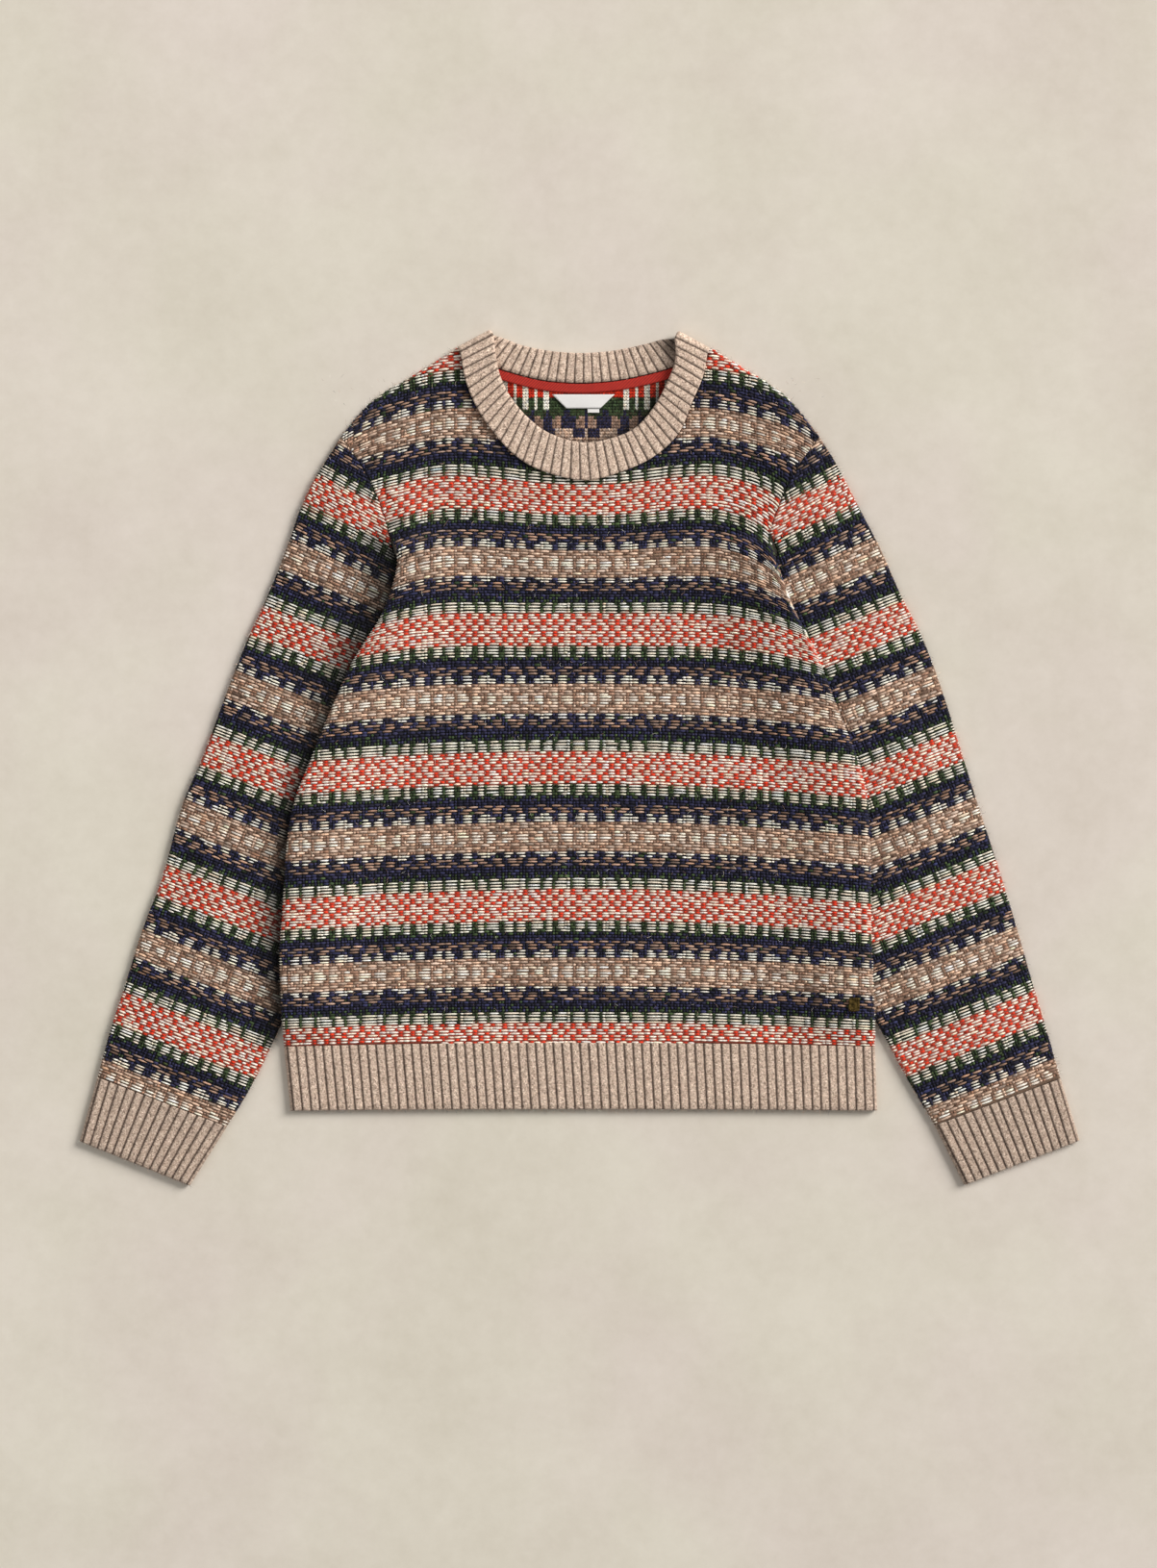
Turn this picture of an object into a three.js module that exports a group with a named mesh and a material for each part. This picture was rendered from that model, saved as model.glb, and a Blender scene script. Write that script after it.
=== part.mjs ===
import * as THREE from "three";

// A fair isle jumper lying flat with its front up, in millimetres.
// X runs across the body, Y from the hem to the neck, Z up off the surface it lies on.
// Y is 0 halfway between the cuffs and the collar, X is 0 halfway between the cuffs.

// Cloth
const wall = 2.4; // thickness of the stranded knit
const seamGap = 0.35; // between two pieces that are sewn together
const layerGap = 0.4; // between two layers that lie on each other
const ribRise = 0.8; // a rib's crest over its groove
const ribCrest = [0.28, 0.72]; // where a crest starts and ends, in parts of one rib

// Body: where its side folds lie, at heights up the body
const bodySide = [
  { y: -227, left: -233.3, right: 232.6 },
  { y: -210, left: -234, right: 232 },
  { y: -168, left: -236, right: 230.5 },
  { y: -144, left: -235.6, right: 229.5 },
  { y: -102, left: -232.6, right: 228.8 },
  { y: -74, left: -231, right: 228.3 },
  { y: -36, left: -225, right: 226.5 },
  { y: -2, left: -212, right: 219 },
  { y: 34, left: -197.5, right: 204.5 },
  { y: 70, left: -181.5, right: 191 },
  { y: 89, left: -170.5, right: 183 },
  { y: 112, left: -156, right: 170.5 },
  { y: 138, left: -146.5, right: 160 },
  { y: 159, left: -143.8, right: 153 },
  { y: 176, left: -150, right: 149.2 },
];
const bodyRows = [
  -227, -218, -209, -188, -160, -126, -92, -57, -22, 14, 50, 80,
  104, 124, 141, 153, 161, 169, 178, 190, 205, 221, 237, 252,
];
const shoulderTip = { left: -188, right: 188.6, y: 252 };
const armholeBow = 4.5; // how far the armhole seam bends into the body
const hemBow = 3; // how far the hem seam rises in the middle
const shoulderParts = 4; // columns of the panels under each shoulder
const neckParts = 18; // and under the neck
const neckGap = 0.9; // between the panels and the neckband

// Shoulder lines, from the tip to the neck
const shoulderLine = [
  { left: -188, right: 188.6, y: 252 },
  { left: -175, right: 176, y: 269.3 },
  { left: -157.6, right: 161, y: 285.5 },
  { left: -137.1, right: 144, y: 297.5 },
  { left: -118.9, right: 125, y: 309 },
  { left: -96.2, right: 103, y: 323.1 },
];

// Neckband: its seam and its free edge, and how high its underside lies
const bandFront = [
  { seamX: -93.6, seamY: 318.6, freeX: -67.6, freeY: 332.2, under: 5.6 },
  { seamX: -90.4, seamY: 299.6, freeX: -65.2, freeY: 313, under: 5.6 },
  { seamX: -83.6, seamY: 281, freeX: -62, freeY: 299.5, under: 4.9 },
  { seamX: -73.8, seamY: 264, freeX: -55, freeY: 285, under: 3.6 },
  { seamX: -54.2, seamY: 240.9, freeX: -41.7, freeY: 268.6, under: 3 },
  { seamX: -31.6, seamY: 226.5, freeX: -24, freeY: 255.4, under: 2.9 },
  { seamX: 3, seamY: 218.3, freeX: 1.5, freeY: 248.1, under: 2.9 },
  { seamX: 32.6, seamY: 225, freeX: 25, freeY: 251.4, under: 2.9 },
  { seamX: 57.4, seamY: 236.5, freeX: 43.5, freeY: 259.7, under: 3.2 },
  { seamX: 77, seamY: 254.7, freeX: 57.6, freeY: 275.4, under: 4 },
  { seamX: 88.2, seamY: 280, freeX: 67.5, freeY: 293.5, under: 5.4 },
  { seamX: 96.5, seamY: 299.6, freeX: 74.6, freeY: 312.5, under: 7.2 },
  { seamX: 99.8, seamY: 317.6, freeX: 74, freeY: 329.6, under: 8.4 },
];
const bandBack = [
  { seamX: 99.8, seamY: 317.6, freeX: 74, freeY: 329.6 },
  { seamX: 84, seamY: 312, freeX: 64, freeY: 329 },
  { seamX: 64, seamY: 304.8, freeX: 51, freeY: 325.5 },
  { seamX: 33, seamY: 297.8, freeX: 28, freeY: 320.7 },
  { seamX: 3, seamY: 295.1, freeX: 3, freeY: 318.6 },
  { seamX: -27, seamY: 297, freeX: -22, freeY: 320 },
  { seamX: -56, seamY: 304, freeX: -45, freeY: 324.4 },
  { seamX: -78, seamY: 312, freeX: -60, freeY: 330 },
  { seamX: -93.6, seamY: 318.6, freeX: -67.6, freeY: 332.2 },
];
const bandThick = 4; // the band is knitted double
const bandRibs = { front: 39, back: 26 };

// Sleeves: rings across the sleeve, from the armhole seam down to the cuff seam
const sleeveLeft = [
  { outerX: -188, outerY: 252, innerX: -150.6, innerY: 176 },
  { outerX: -199, outerY: 235, innerX: -147.8, innerY: 168 },
  { outerX: -210, outerY: 217, innerX: -145.6, innerY: 160 },
  { outerX: -220.5, outerY: 194, innerX: -139, innerY: 144 },
  { outerX: -231, outerY: 164, innerX: -137, innerY: 122 },
  { outerX: -245.5, outerY: 128, innerX: -147, innerY: 90 },
  { outerX: -261.5, outerY: 93, innerX: -164, innerY: 54 },
  { outerX: -278, outerY: 51, innerX: -182, innerY: 15 },
  { outerX: -297, outerY: 0, innerX: -199, innerY: -38 },
  { outerX: -313, outerY: -38, innerX: -206.5, innerY: -78 },
  { outerX: -328, outerY: -92, innerX: -211, innerY: -136 },
  { outerX: -344, outerY: -135, innerX: -222, innerY: -180 },
  { outerX: -357, outerY: -176, innerX: -236, innerY: -212 },
  { outerX: -369, outerY: -213, innerX: -256, innerY: -254 },
  { outerX: -379.5, outerY: -251, innerX: -277.5, innerY: -290 },
];
const sleeveRight = [
  { outerX: 188.5, outerY: 252, innerX: 149.8, innerY: 176 },
  { outerX: 200, outerY: 234, innerX: 153, innerY: 168 },
  { outerX: 209, outerY: 217, innerX: 155, innerY: 160 },
  { outerX: 221, outerY: 194, innerX: 150.5, innerY: 144 },
  { outerX: 236, outerY: 165, innerX: 149, innerY: 122 },
  { outerX: 252.5, outerY: 128, innerX: 160, innerY: 90 },
  { outerX: 270, outerY: 93, innerX: 176, innerY: 54 },
  { outerX: 285.5, outerY: 51, innerX: 191, innerY: 14 },
  { outerX: 301.5, outerY: 0, innerX: 203.5, innerY: -38 },
  { outerX: 313.5, outerY: -38, innerX: 206, innerY: -80 },
  { outerX: 331, outerY: -92, innerX: 207, innerY: -138 },
  { outerX: 344, outerY: -135, innerX: 216, innerY: -180 },
  { outerX: 356, outerY: -177, innerX: 236, innerY: -213 },
  { outerX: 368, outerY: -217, innerX: 256, innerY: -250 },
  { outerX: 378, outerY: -252, innerX: 279, innerY: -289 },
];
const sleeveFlat = 5.4; // height of the two layers at the sleeve's edges
const sleeveDome = 2.8; // how much higher the middle stands

// Cuffs and hem: the cast-off edge, away from the seam
const cuffEdge = {
  left: { outerX: -393.5, outerY: -301.5, innerX: -306.8, innerY: -336.5 },
  right: { outerX: 393, outerY: -301, innerX: 302.3, innerY: -336 },
};
const cuffRibs = 14;
const hemEdge = { left: -227.6, right: 233.8, y: -277.5, bow: 1.2 };
const hemRibs = 66;
const ribbedFlat = 5.3; // height of two ribbed layers, at the grooves

// Where the body lies over the sleeves
const sleeveLift = 6.8; // the body's underside over the surface there
const liftSpan = { full: 24, none: 50 }; // distance in from the fold
const liftRise = { start: 178, full: 161 }; // heights up the body at the armpit
const liftFall = { full: -210, end: -229, rest: 0.1 }; // near the hem
const foldBulge = { height: 2.4, peak: 14, end: 46 }; // the folded edge is plump
const pitBulge = { height: 3.2, peak: 18, end: 44, top: 222, low: 150, middle: 180 };
const rollWidth = 6; // how far in the front's edge starts to turn down
const rollSteps = 4;
const backInset = 5.6; // the back panel's edge lies inside the front's turned edge

// Small pieces
const tape = { half: 80, drop: 1.2, tall: 7.2, thick: 1 };
const label = {
  topLeft: -22, topRight: 27.3, footLeft: -10.6, footRight: 16, top: 285.6, foot: 274.6, thick: 1,
};
const tab = { left: 6, right: 15.2, top: 274.2, foot: 271.2, thick: 1 };
const tag = { x: 214.8, y: -193.6, wide: 8.4, tall: 10.6, thick: 1.4, gap: 0.5 };

// Colours: yarns and trims
const colour = {
  fairIsle: 0x4a4047,
  marl: 0xb09989,
  tape: 0xb02a2a,
  label: 0xece6dc,
  brass: 0x6d5a33,
};

const spot = (x, y, z) => new THREE.Vector3(x, y, z);
const mix = THREE.MathUtils.lerp;
const ease = THREE.MathUtils.smoothstep;

// Goes from 0 at zero distance to 1 at the peak, then back to 0 at the end.
function hump(distance, peak, end) {
  return distance < peak ? ease(distance, 0, peak) : 1 - ease(distance, peak, end);
}

// Value of a table's column at a height, on a smooth curve through its rows.
function atHeight(table, column, y) {
  const last = table.length - 1;
  const slope = (i) => {
    const low = table[Math.max(i - 1, 0)];
    const high = table[Math.min(i + 1, last)];
    return (high[column] - low[column]) / (high.y - low.y);
  };
  if (y <= table[0].y) return table[0][column];
  if (y >= table[last].y) return table[last][column];
  const i = table.findIndex((row) => row.y > y) - 1;
  const span = table[i + 1].y - table[i].y;
  const t = (y - table[i].y) / span;
  const start = table[i][column] + slope(i) * span * t;
  const end = table[i + 1][column] - slope(i + 1) * span * (1 - t);
  return mix(start, end, t * t * (3 - 2 * t));
}

function smoothCurve(points) {
  return new THREE.CatmullRomCurve3(points, false, "centripetal");
}

// Armhole seam: part 0 is the shoulder tip and part 1 the underarm.
function armhole(side, part) {
  const underarm = bodySide[bodySide.length - 1];
  const inward = side === "left" ? 1 : -1;
  const bow = armholeBow * 4 * part * (1 - part) * inward;
  return spot(
    mix(shoulderTip[side], underarm[side], part) + bow,
    mix(shoulderTip.y, underarm.y, part) + bow * inward * 0.5,
    0,
  );
}

// Outline of the body at a height: the side fold, then the armhole seam above it.
function bodyEdge(side, y) {
  const underarm = bodySide[bodySide.length - 1];
  if (y <= underarm.y) return spot(atHeight(bodySide, side, y), y, 0);
  const part = (shoulderTip.y - y) / (shoulderTip.y - underarm.y);
  return armhole(side, part);
}

// How far in from the nearer side of the body a point lies.
function sideDistance(x, y) {
  const left = x - bodyEdge("left", y).x;
  const right = bodyEdge("right", y).x - x;
  return Math.max(0, Math.min(left, right));
}

// Height of the body's underside: it rests on the surface and rises over the sleeves.
function liftAt(x, y) {
  const rise = 1 - ease(y, liftRise.full, liftRise.start);
  const fall = mix(liftFall.rest, 1, ease(y, liftFall.end, liftFall.full));
  const inward = 1 - ease(sideDistance(x, y), liftSpan.full, liftSpan.none);
  return sleeveLift * rise * fall * inward;
}

// Height of the front panel's face.
function frontFace(x, y) {
  const distance = sideDistance(x, y);
  const fold = foldBulge.height * hump(distance, foldBulge.peak, foldBulge.end);
  const folded = (1 - ease(y, liftRise.full, liftRise.start)) * ease(y, liftFall.end, liftFall.full);
  const pit = pitBulge.height * hump(distance, pitBulge.peak, pitBulge.end);
  const pitHigh = 1 - ease(y, pitBulge.middle, pitBulge.top);
  const pitLow = ease(y, pitBulge.low, pitBulge.middle);
  return liftAt(x, y) + wall + layerGap + wall + fold * folded + pit * pitHigh * pitLow;
}

function backFace(x, y) {
  return liftAt(x, y) + wall;
}

// A closed solid from triangles, with its faces pointing out.
function closedMesh(name, points, faces, look) {
  const geometry = new THREE.BufferGeometry();
  const numbers = points.flatMap((p) => [p.x, p.y, p.z]);
  geometry.setAttribute("position", new THREE.Float32BufferAttribute(numbers, 3));
  let volume = 0;
  for (const [a, b, c] of faces) volume += points[a].dot(points[b].clone().cross(points[c]));
  const outward = volume > 0 ? faces : faces.map(([a, b, c]) => [a, c, b]);
  geometry.setIndex(outward.flat());
  geometry.computeVertexNormals();
  const mesh = new THREE.Mesh(geometry, new THREE.MeshStandardMaterial(look));
  mesh.name = name;
  return mesh;
}

// A wall between two surfaces that share their quads: its rim is closed all round.
function wallMesh(name, face, under, quads, look) {
  const shift = face.length;
  const faces = [];
  const edges = new Map();
  for (const quad of quads) {
    const [a, b, c, d] = quad;
    faces.push([a, b, c], [a, c, d]);
    faces.push([shift + a, shift + c, shift + b], [shift + a, shift + d, shift + c]);
    quad.forEach((from, i) => {
      const to = quad[(i + 1) % quad.length];
      const back = `${to} ${from}`;
      if (edges.has(back)) edges.delete(back);
      else edges.set(`${from} ${to}`, [from, to]);
    });
  }
  for (const [from, to] of edges.values()) {
    faces.push([to, from, shift + from], [to, shift + from, shift + to]);
  }
  return closedMesh(name, [...face, ...under], faces, look);
}

// A grid of plan points filled in between its four edges.
function fillGrid(foot, top, left, right) {
  const columns = foot.length - 1;
  const rows = left.length - 1;
  return left.map((_, j) => foot.map((__, i) => {
    const u = i / columns;
    const v = j / rows;
    const across = left[j].clone().lerp(right[j], u);
    const along = foot[i].clone().lerp(top[i], v);
    const cornersLow = foot[0].clone().lerp(foot[columns], u);
    const cornersHigh = top[0].clone().lerp(top[columns], u);
    return across.add(along).sub(cornersLow.lerp(cornersHigh, v));
  }));
}

// Plan points moved in from a line by a distance, to the left of its direction.
function movedIn(line, distance) {
  return line.map((point, i) => {
    const before = line[Math.max(i - 1, 0)];
    const after = line[Math.min(i + 1, line.length - 1)];
    const along = after.clone().sub(before).normalize();
    return point.clone().add(spot(-along.y, along.x, 0).multiplyScalar(distance));
  });
}

// Neckline of a panel: the band's seam moved away from the band by the seam's gap.
function neckline(band, gap) {
  return band.map((row) => {
    const seam = spot(row.seamX, row.seamY, 0);
    const away = seam.clone().sub(spot(row.freeX, row.freeY, 0)).normalize();
    return seam.add(away.multiplyScalar(gap));
  });
}

// Plan of the body that both panels share, from the hem seam to the shoulders and the front neck.
function bodyPlan() {
  const rows = bodyRows.length - 1;
  const columns = shoulderParts * 2 + neckParts;
  const side = (name, inward) => bodyRows.map((y) => {
    const flat = ease(y, liftRise.full, liftRise.start);
    return bodyEdge(name, y).add(spot(inward * seamGap * flat, 0, 0));
  });
  const shoulder = (name) => smoothCurve(shoulderLine.map((row) => spot(row[name], row.y, 0)))
    .getSpacedPoints(shoulderParts);
  const outline = {
    left: [...side("left", 1), ...shoulder("left").slice(1)],
    right: [...side("right", -1), ...shoulder("right").slice(1)],
  };
  const corner = shoulderLine[shoulderLine.length - 1];
  const seam = neckline(bandFront, neckGap).slice(1, -1);
  const neck = smoothCurve([spot(corner.left, corner.y, 0), ...seam, spot(corner.right, corner.y, 0)]);
  const turn = rollWidth / neck.getLength();

  // The flat part starts rollWidth in from the outline
  const left = movedIn(outline.left, -rollWidth);
  const right = movedIn(outline.right, rollWidth);
  left[0].y = bodyRows[0];
  right[0].y = bodyRows[0];
  left[left.length - 1] = neck.getPointAt(turn);
  right[right.length - 1] = neck.getPointAt(1 - turn);
  const foot = Array.from({ length: columns + 1 }, (_, i) => {
    const u = i / columns;
    return spot(mix(left[0].x, right[0].x, u), bodyRows[0] + hemBow * 4 * u * (1 - u), 0);
  });
  const neckLine = neck.getSpacedPoints(neckParts).slice(1, -1);
  const top = [...left.slice(rows), ...neckLine, ...right.slice(rows).reverse()];
  const grid = fillGrid(foot, top, left.slice(0, rows + 1), right.slice(0, rows + 1));
  const at = (j, i) => j * (columns + 1) + i;
  const quads = [];
  for (let j = 0; j < rows; j += 1) {
    for (let i = 0; i < columns; i += 1) {
      quads.push([at(j, i), at(j, i + 1), at(j + 1, i + 1), at(j + 1, i)]);
    }
  }
  const border = {
    left: left.map((_, k) => (k <= rows ? at(k, 0) : at(rows, k - rows))),
    right: right.map((_, k) => (k <= rows ? at(k, columns) : at(rows, columns - (k - rows)))),
  };
  const neckRow = Array.from({ length: neckParts + 1 }, (_, i) => at(rows, shoulderParts + i));
  return { rows, points: grid.flat(), quads, outline, border, neckRow };
}

// How far the front's edge is turned down at a point of the outline: 1 along folds, 0 at seams.
function turnedDown(edge, k, count, rows) {
  if (k < rows) return 1 - ease(edge.y, liftRise.full - 3, liftRise.start);
  return THREE.MathUtils.clamp(Math.min(k - rows, count - 1 - k) / 1.5, 0, 1);
}

// Joins two lines of vertices with quads that face up.
function joinLines(quads, before, line, side) {
  for (let step = 0; step + 1 < line.length; step += 1) {
    const quad = [before[step], line[step], line[step + 1], before[step + 1]];
    quads.push(side === "left" ? quad : quad.reverse());
  }
}

// The front: a wall that turns down along its side folds and shoulders.
function frontBody() {
  const plan = bodyPlan();
  const quads = [...plan.quads];
  const face = plan.points.map((p) => spot(p.x, p.y, frontFace(p.x, p.y)));
  const under = face.map((p) => spot(p.x, p.y, p.z - wall));
  ["left", "right"].forEach((side) => {
    const outline = plan.outline[side];
    const lines = outline.map((edge, k) => {
      const start = face[plan.border[side][k]];
      const turned = turnedDown(edge, k, outline.length, plan.rows);
      const drop = start.z - liftAt(edge.x, edge.y) - layerGap;
      const line = [plan.border[side][k]];
      for (let step = 1; step <= rollSteps; step += 1) {
        const part = step / rollSteps;
        const angle = part * Math.PI * 0.5;
        const flat = start.clone().lerp(edge, part);
        const out = start.clone().lerp(edge, Math.sin(angle));
        const lining = start.clone().lerp(edge, Math.sin(angle) * (1 - wall / rollWidth));
        flat.z = frontFace(flat.x, flat.y);
        out.z = start.z - drop * (1 - Math.cos(angle));
        lining.z = start.z - wall - (drop - wall) * (1 - Math.cos(angle));
        line.push(face.length);
        face.push(flat.clone().lerp(out, turned));
        under.push(flat.setZ(flat.z - wall).lerp(lining, turned));
      }
      return line;
    });
    for (let k = 1; k < lines.length; k += 1) joinLines(quads, lines[k - 1], lines[k], side);
  });
  return wallMesh("front_body", face, under, quads, {
    color: colour.fairIsle, roughness: 0.95, metalness: 0,
  });
}

// The back: a flat wall whose edges lie inside the front's turned edges, and that rises to the back neck.
function backBody() {
  const plan = bodyPlan();
  const quads = [...plan.quads];
  const points = plan.points.map((p) => p.clone());
  ["left", "right"].forEach((side) => {
    const outline = plan.outline[side];
    const lines = outline.map((edge, k) => {
      const inset = backInset * Math.min(1, 1.5 * turnedDown(edge, k, outline.length, plan.rows));
      const start = plan.points[plan.border[side][k]];
      const reach = 1 - inset / rollWidth;
      points.push(start.clone().lerp(edge, reach));
      return [plan.border[side][k], points.length - 1];
    });
    for (let k = 1; k < lines.length; k += 1) joinLines(quads, lines[k - 1], lines[k], side);
  });

  // From the front neckline up to the back neck seam
  const neckSteps = 3;
  const backNeck = smoothCurve(neckline([...bandBack].reverse(), neckGap)).getSpacedPoints(neckParts);
  let before = plan.neckRow;
  for (let step = 1; step <= neckSteps; step += 1) {
    const line = plan.neckRow.map((index, i) => {
      points.push(plan.points[index].clone().lerp(backNeck[i], step / neckSteps));
      return points.length - 1;
    });
    joinLines(quads, line, before, "left");
    before = line;
  }
  const under = points.map((p) => spot(p.x, p.y, liftAt(p.x, p.y)));
  const face = under.map((p) => spot(p.x, p.y, p.z + wall));
  return wallMesh("back_body", face, under, quads, { color: colour.fairIsle, roughness: 0.95, metalness: 0 });
}

// One ring of a flattened tube: an outer loop round both layers and a loop round the slit inside.
function tubeRing(row, topStations, footParts) {
  const across = row.inner.clone().sub(row.outer);
  const width = across.length();
  across.normalize();
  const bend = spot(-across.y, across.x, 0);
  const place = (distance, z) => {
    const part = distance / width;
    const bow = row.bow * 4 * part * (1 - part);
    return row.outer.clone().addScaledVector(across, distance).addScaledVector(bend, bow).setZ(z);
  };
  const round = row.height(0) / 2;
  const flat = width - 2 * round;
  const outer = [];
  const slit = [];
  const arcs = [-Math.PI / 4, 0, Math.PI / 4];
  topStations.forEach(({ s, rise }) => {
    outer.push({ key: s, point: place(round + s * flat, row.height(s) + rise) });
  });
  arcs.forEach((angle, k) => {
    outer.push({
      key: 1.02 + k * 0.03,
      point: place(width - round + round * Math.cos(angle), round - round * Math.sin(angle)),
    });
  });
  for (let k = 0; k <= footParts; k += 1) {
    outer.push({ key: 1.1 + 0.8 * (k / footParts), point: place(round + flat * (1 - k / footParts), 0) });
  }
  arcs.forEach((angle, k) => {
    outer.push({
      key: 1.92 + k * 0.03,
      point: place(round - round * Math.cos(angle), round + round * Math.sin(angle)),
    });
  });
  const slitStart = wall + layerGap;
  const slitWide = width - 2 * slitStart;
  const slitParts = footParts + 1;
  for (let k = 0; k <= slitParts; k += 1) {
    const s = k / slitParts;
    slit.push({ key: 0.01 + 0.98 * s, point: place(slitStart + s * slitWide, row.height(s) - wall) });
  }
  for (let k = 0; k <= slitParts; k += 1) {
    const s = 1 - k / slitParts;
    slit.push({ key: 1.1 + 0.8 * (1 - s), point: place(slitStart + s * slitWide, wall) });
  }
  return { outer, slit };
}

// A flattened tube, open at both ends, through its rings.
function tubeMesh(name, rings, look) {
  const points = [];
  const faces = [];
  const loops = rings.map((ring) => ["outer", "slit"].map((kind) => ring[kind].map(({ key, point }) => {
    points.push(point);
    return { key, index: points.length - 1 };
  })));
  const skin = (low, high, turned) => {
    low.forEach((vertex, i) => {
      const next = (i + 1) % low.length;
      const quad = [vertex.index, low[next].index, high[next].index, high[i].index];
      if (turned) quad.reverse();
      faces.push([quad[0], quad[1], quad[2]], [quad[0], quad[2], quad[3]]);
    });
  };
  const cap = ([outer, slit], turned) => {
    let i = 0;
    let j = 0;
    const keyAfter = (loop, index) => (index + 1 < loop.length ? loop[index + 1].key : 2 + loop[0].key);
    while (i < outer.length || j < slit.length) {
      const outerNext = i < outer.length ? keyAfter(outer, i) : Infinity;
      const slitNext = j < slit.length ? keyAfter(slit, j) : Infinity;
      const a = outer[i % outer.length].index;
      const b = slit[j % slit.length].index;
      const stepOuter = outerNext <= slitNext;
      const c = stepOuter ? outer[(i + 1) % outer.length].index : slit[(j + 1) % slit.length].index;
      const face = stepOuter ? [c, a, b] : [b, c, a];
      faces.push(turned ? face.reverse() : face);
      if (stepOuter) i += 1;
      else j += 1;
    }
  };
  for (let k = 1; k < loops.length; k += 1) {
    skin(loops[k - 1][0], loops[k][0], false);
    skin(loops[k - 1][1], loops[k][1], true);
  }
  cap(loops[0], false);
  cap(loops[loops.length - 1], true);
  return closedMesh(name, points, faces, look);
}

// Stations across a ribbed face: a groove, then the two edges of its crest.
function ribStations(count) {
  const stations = [];
  for (let k = 0; k < count; k += 1) {
    stations.push({ s: k / count, rise: 0 });
    ribCrest.forEach((edge) => stations.push({ s: (k + edge) / count, rise: ribRise }));
  }
  stations.push({ s: 1, rise: 0 });
  return stations;
}

function plainStations(count) {
  return Array.from({ length: count + 1 }, (_, k) => ({ s: k / count, rise: 0 }));
}

// A sleeve, from the armhole seam to the cuff seam.
function sleeve(side, table) {
  const ringCount = 23;
  const topParts = 12;
  const footParts = 6;
  const outerCurve = new THREE.CatmullRomCurve3(table.map((row) => spot(row.outerX, row.outerY, 0)));
  const innerCurve = new THREE.CatmullRomCurve3(table.map((row) => spot(row.innerX, row.innerY, 0)));
  const endGap = 0.2;
  const rings = Array.from({ length: ringCount }, (_, k) => {
    const t = k / (ringCount - 1);
    const bowFade = 1 - ease(t, 0, 0.16);
    const domeFade = ease(t, 0, 0.1) * (1 - 0.7 * ease(t, 0.9, 1));
    const outer = outerCurve.getPoint(t);
    const inner = innerCurve.getPoint(t);
    if (k === ringCount - 1) {
      outer.y += endGap;
      inner.y += endGap;
    }
    return {
      outer,
      inner,
      bow: armholeBow * 1.12 * bowFade * (side === "left" ? 1 : -1),
      height: (s) => sleeveFlat + sleeveDome * domeFade * Math.sin(Math.PI * s ** 0.85) ** 2,
    };
  });
  return tubeMesh(
    `sleeve_${side}`,
    rings.map((ring) => tubeRing(ring, plainStations(topParts), footParts)),
    { color: colour.fairIsle, roughness: 0.95, metalness: 0 },
  );
}

// A ribbed tube between its seam and its cast-off edge.
function ribbedTube(name, seam, edge, ribs, steps, bows) {
  const footParts = 4;
  const rings = Array.from({ length: steps + 1 }, (_, k) => {
    const t = k / steps;
    return {
      outer: seam.outer.clone().lerp(edge.outer, t),
      inner: seam.inner.clone().lerp(edge.inner, t),
      bow: mix(bows.seam, bows.edge, t),
      height: () => ribbedFlat,
    };
  });
  return tubeMesh(
    name,
    rings.map((ring) => tubeRing(ring, ribStations(ribs), footParts)),
    { color: colour.marl, roughness: 0.95, metalness: 0 },
  );
}

function cuff(side, table) {
  const row = table[table.length - 1];
  const cast = cuffEdge[side];
  const edge = { outer: spot(cast.outerX, cast.outerY, 0), inner: spot(cast.innerX, cast.innerY, 0) };
  const seam = { outer: spot(row.outerX, row.outerY, 0), inner: spot(row.innerX, row.innerY, 0) };
  const along = edge.outer.clone().sub(seam.outer).normalize();
  seam.outer.addScaledVector(along, seamGap);
  seam.inner.addScaledVector(along, seamGap);
  return ribbedTube(`cuff_${side}`, seam, edge, cuffRibs, 2, { seam: 0, edge: 0 });
}

function hemRib() {
  const y = bodyRows[0] - seamGap;
  const seam = { outer: spot(bodySide[0].left + 0.5, y, 0), inner: spot(bodySide[0].right - 0.5, y, 0) };
  const edge = { outer: spot(hemEdge.left, hemEdge.y, 0), inner: spot(hemEdge.right, hemEdge.y, 0) };
  return ribbedTube("hem_rib", seam, edge, hemRibs, 2, { seam: hemBow, edge: hemEdge.bow });
}

// Sections across the neckband at even steps along its middle.
function bandSections(table, ribs, facing) {
  const lines = {
    seam: new THREE.CatmullRomCurve3(table.map((row) => spot(row.seamX, row.seamY, row.under ?? 0))),
    free: new THREE.CatmullRomCurve3(table.map((row) => spot(row.freeX, row.freeY, row.under ?? 0))),
  };
  const middle = (t) => lines.seam.getPoint(t).lerp(lines.free.getPoint(t), 0.5);
  const samples = 400;
  const lengths = [0];
  for (let k = 1; k <= samples; k += 1) {
    lengths.push(lengths[k - 1] + middle(k / samples).distanceTo(middle((k - 1) / samples)));
  }
  const total = lengths[samples];
  return ribStations(ribs).map(({ s, rise }) => {
    const target = s * total;
    const after = Math.max(1, lengths.findIndex((length) => length >= target - 1e-9));
    const part = (target - lengths[after - 1]) / (lengths[after] - lengths[after - 1]);
    const t = (after - 1 + part) / samples;
    return { seam: lines.seam.getPoint(t), free: lines.free.getPoint(t), rise, facing };
  });
}

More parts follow.
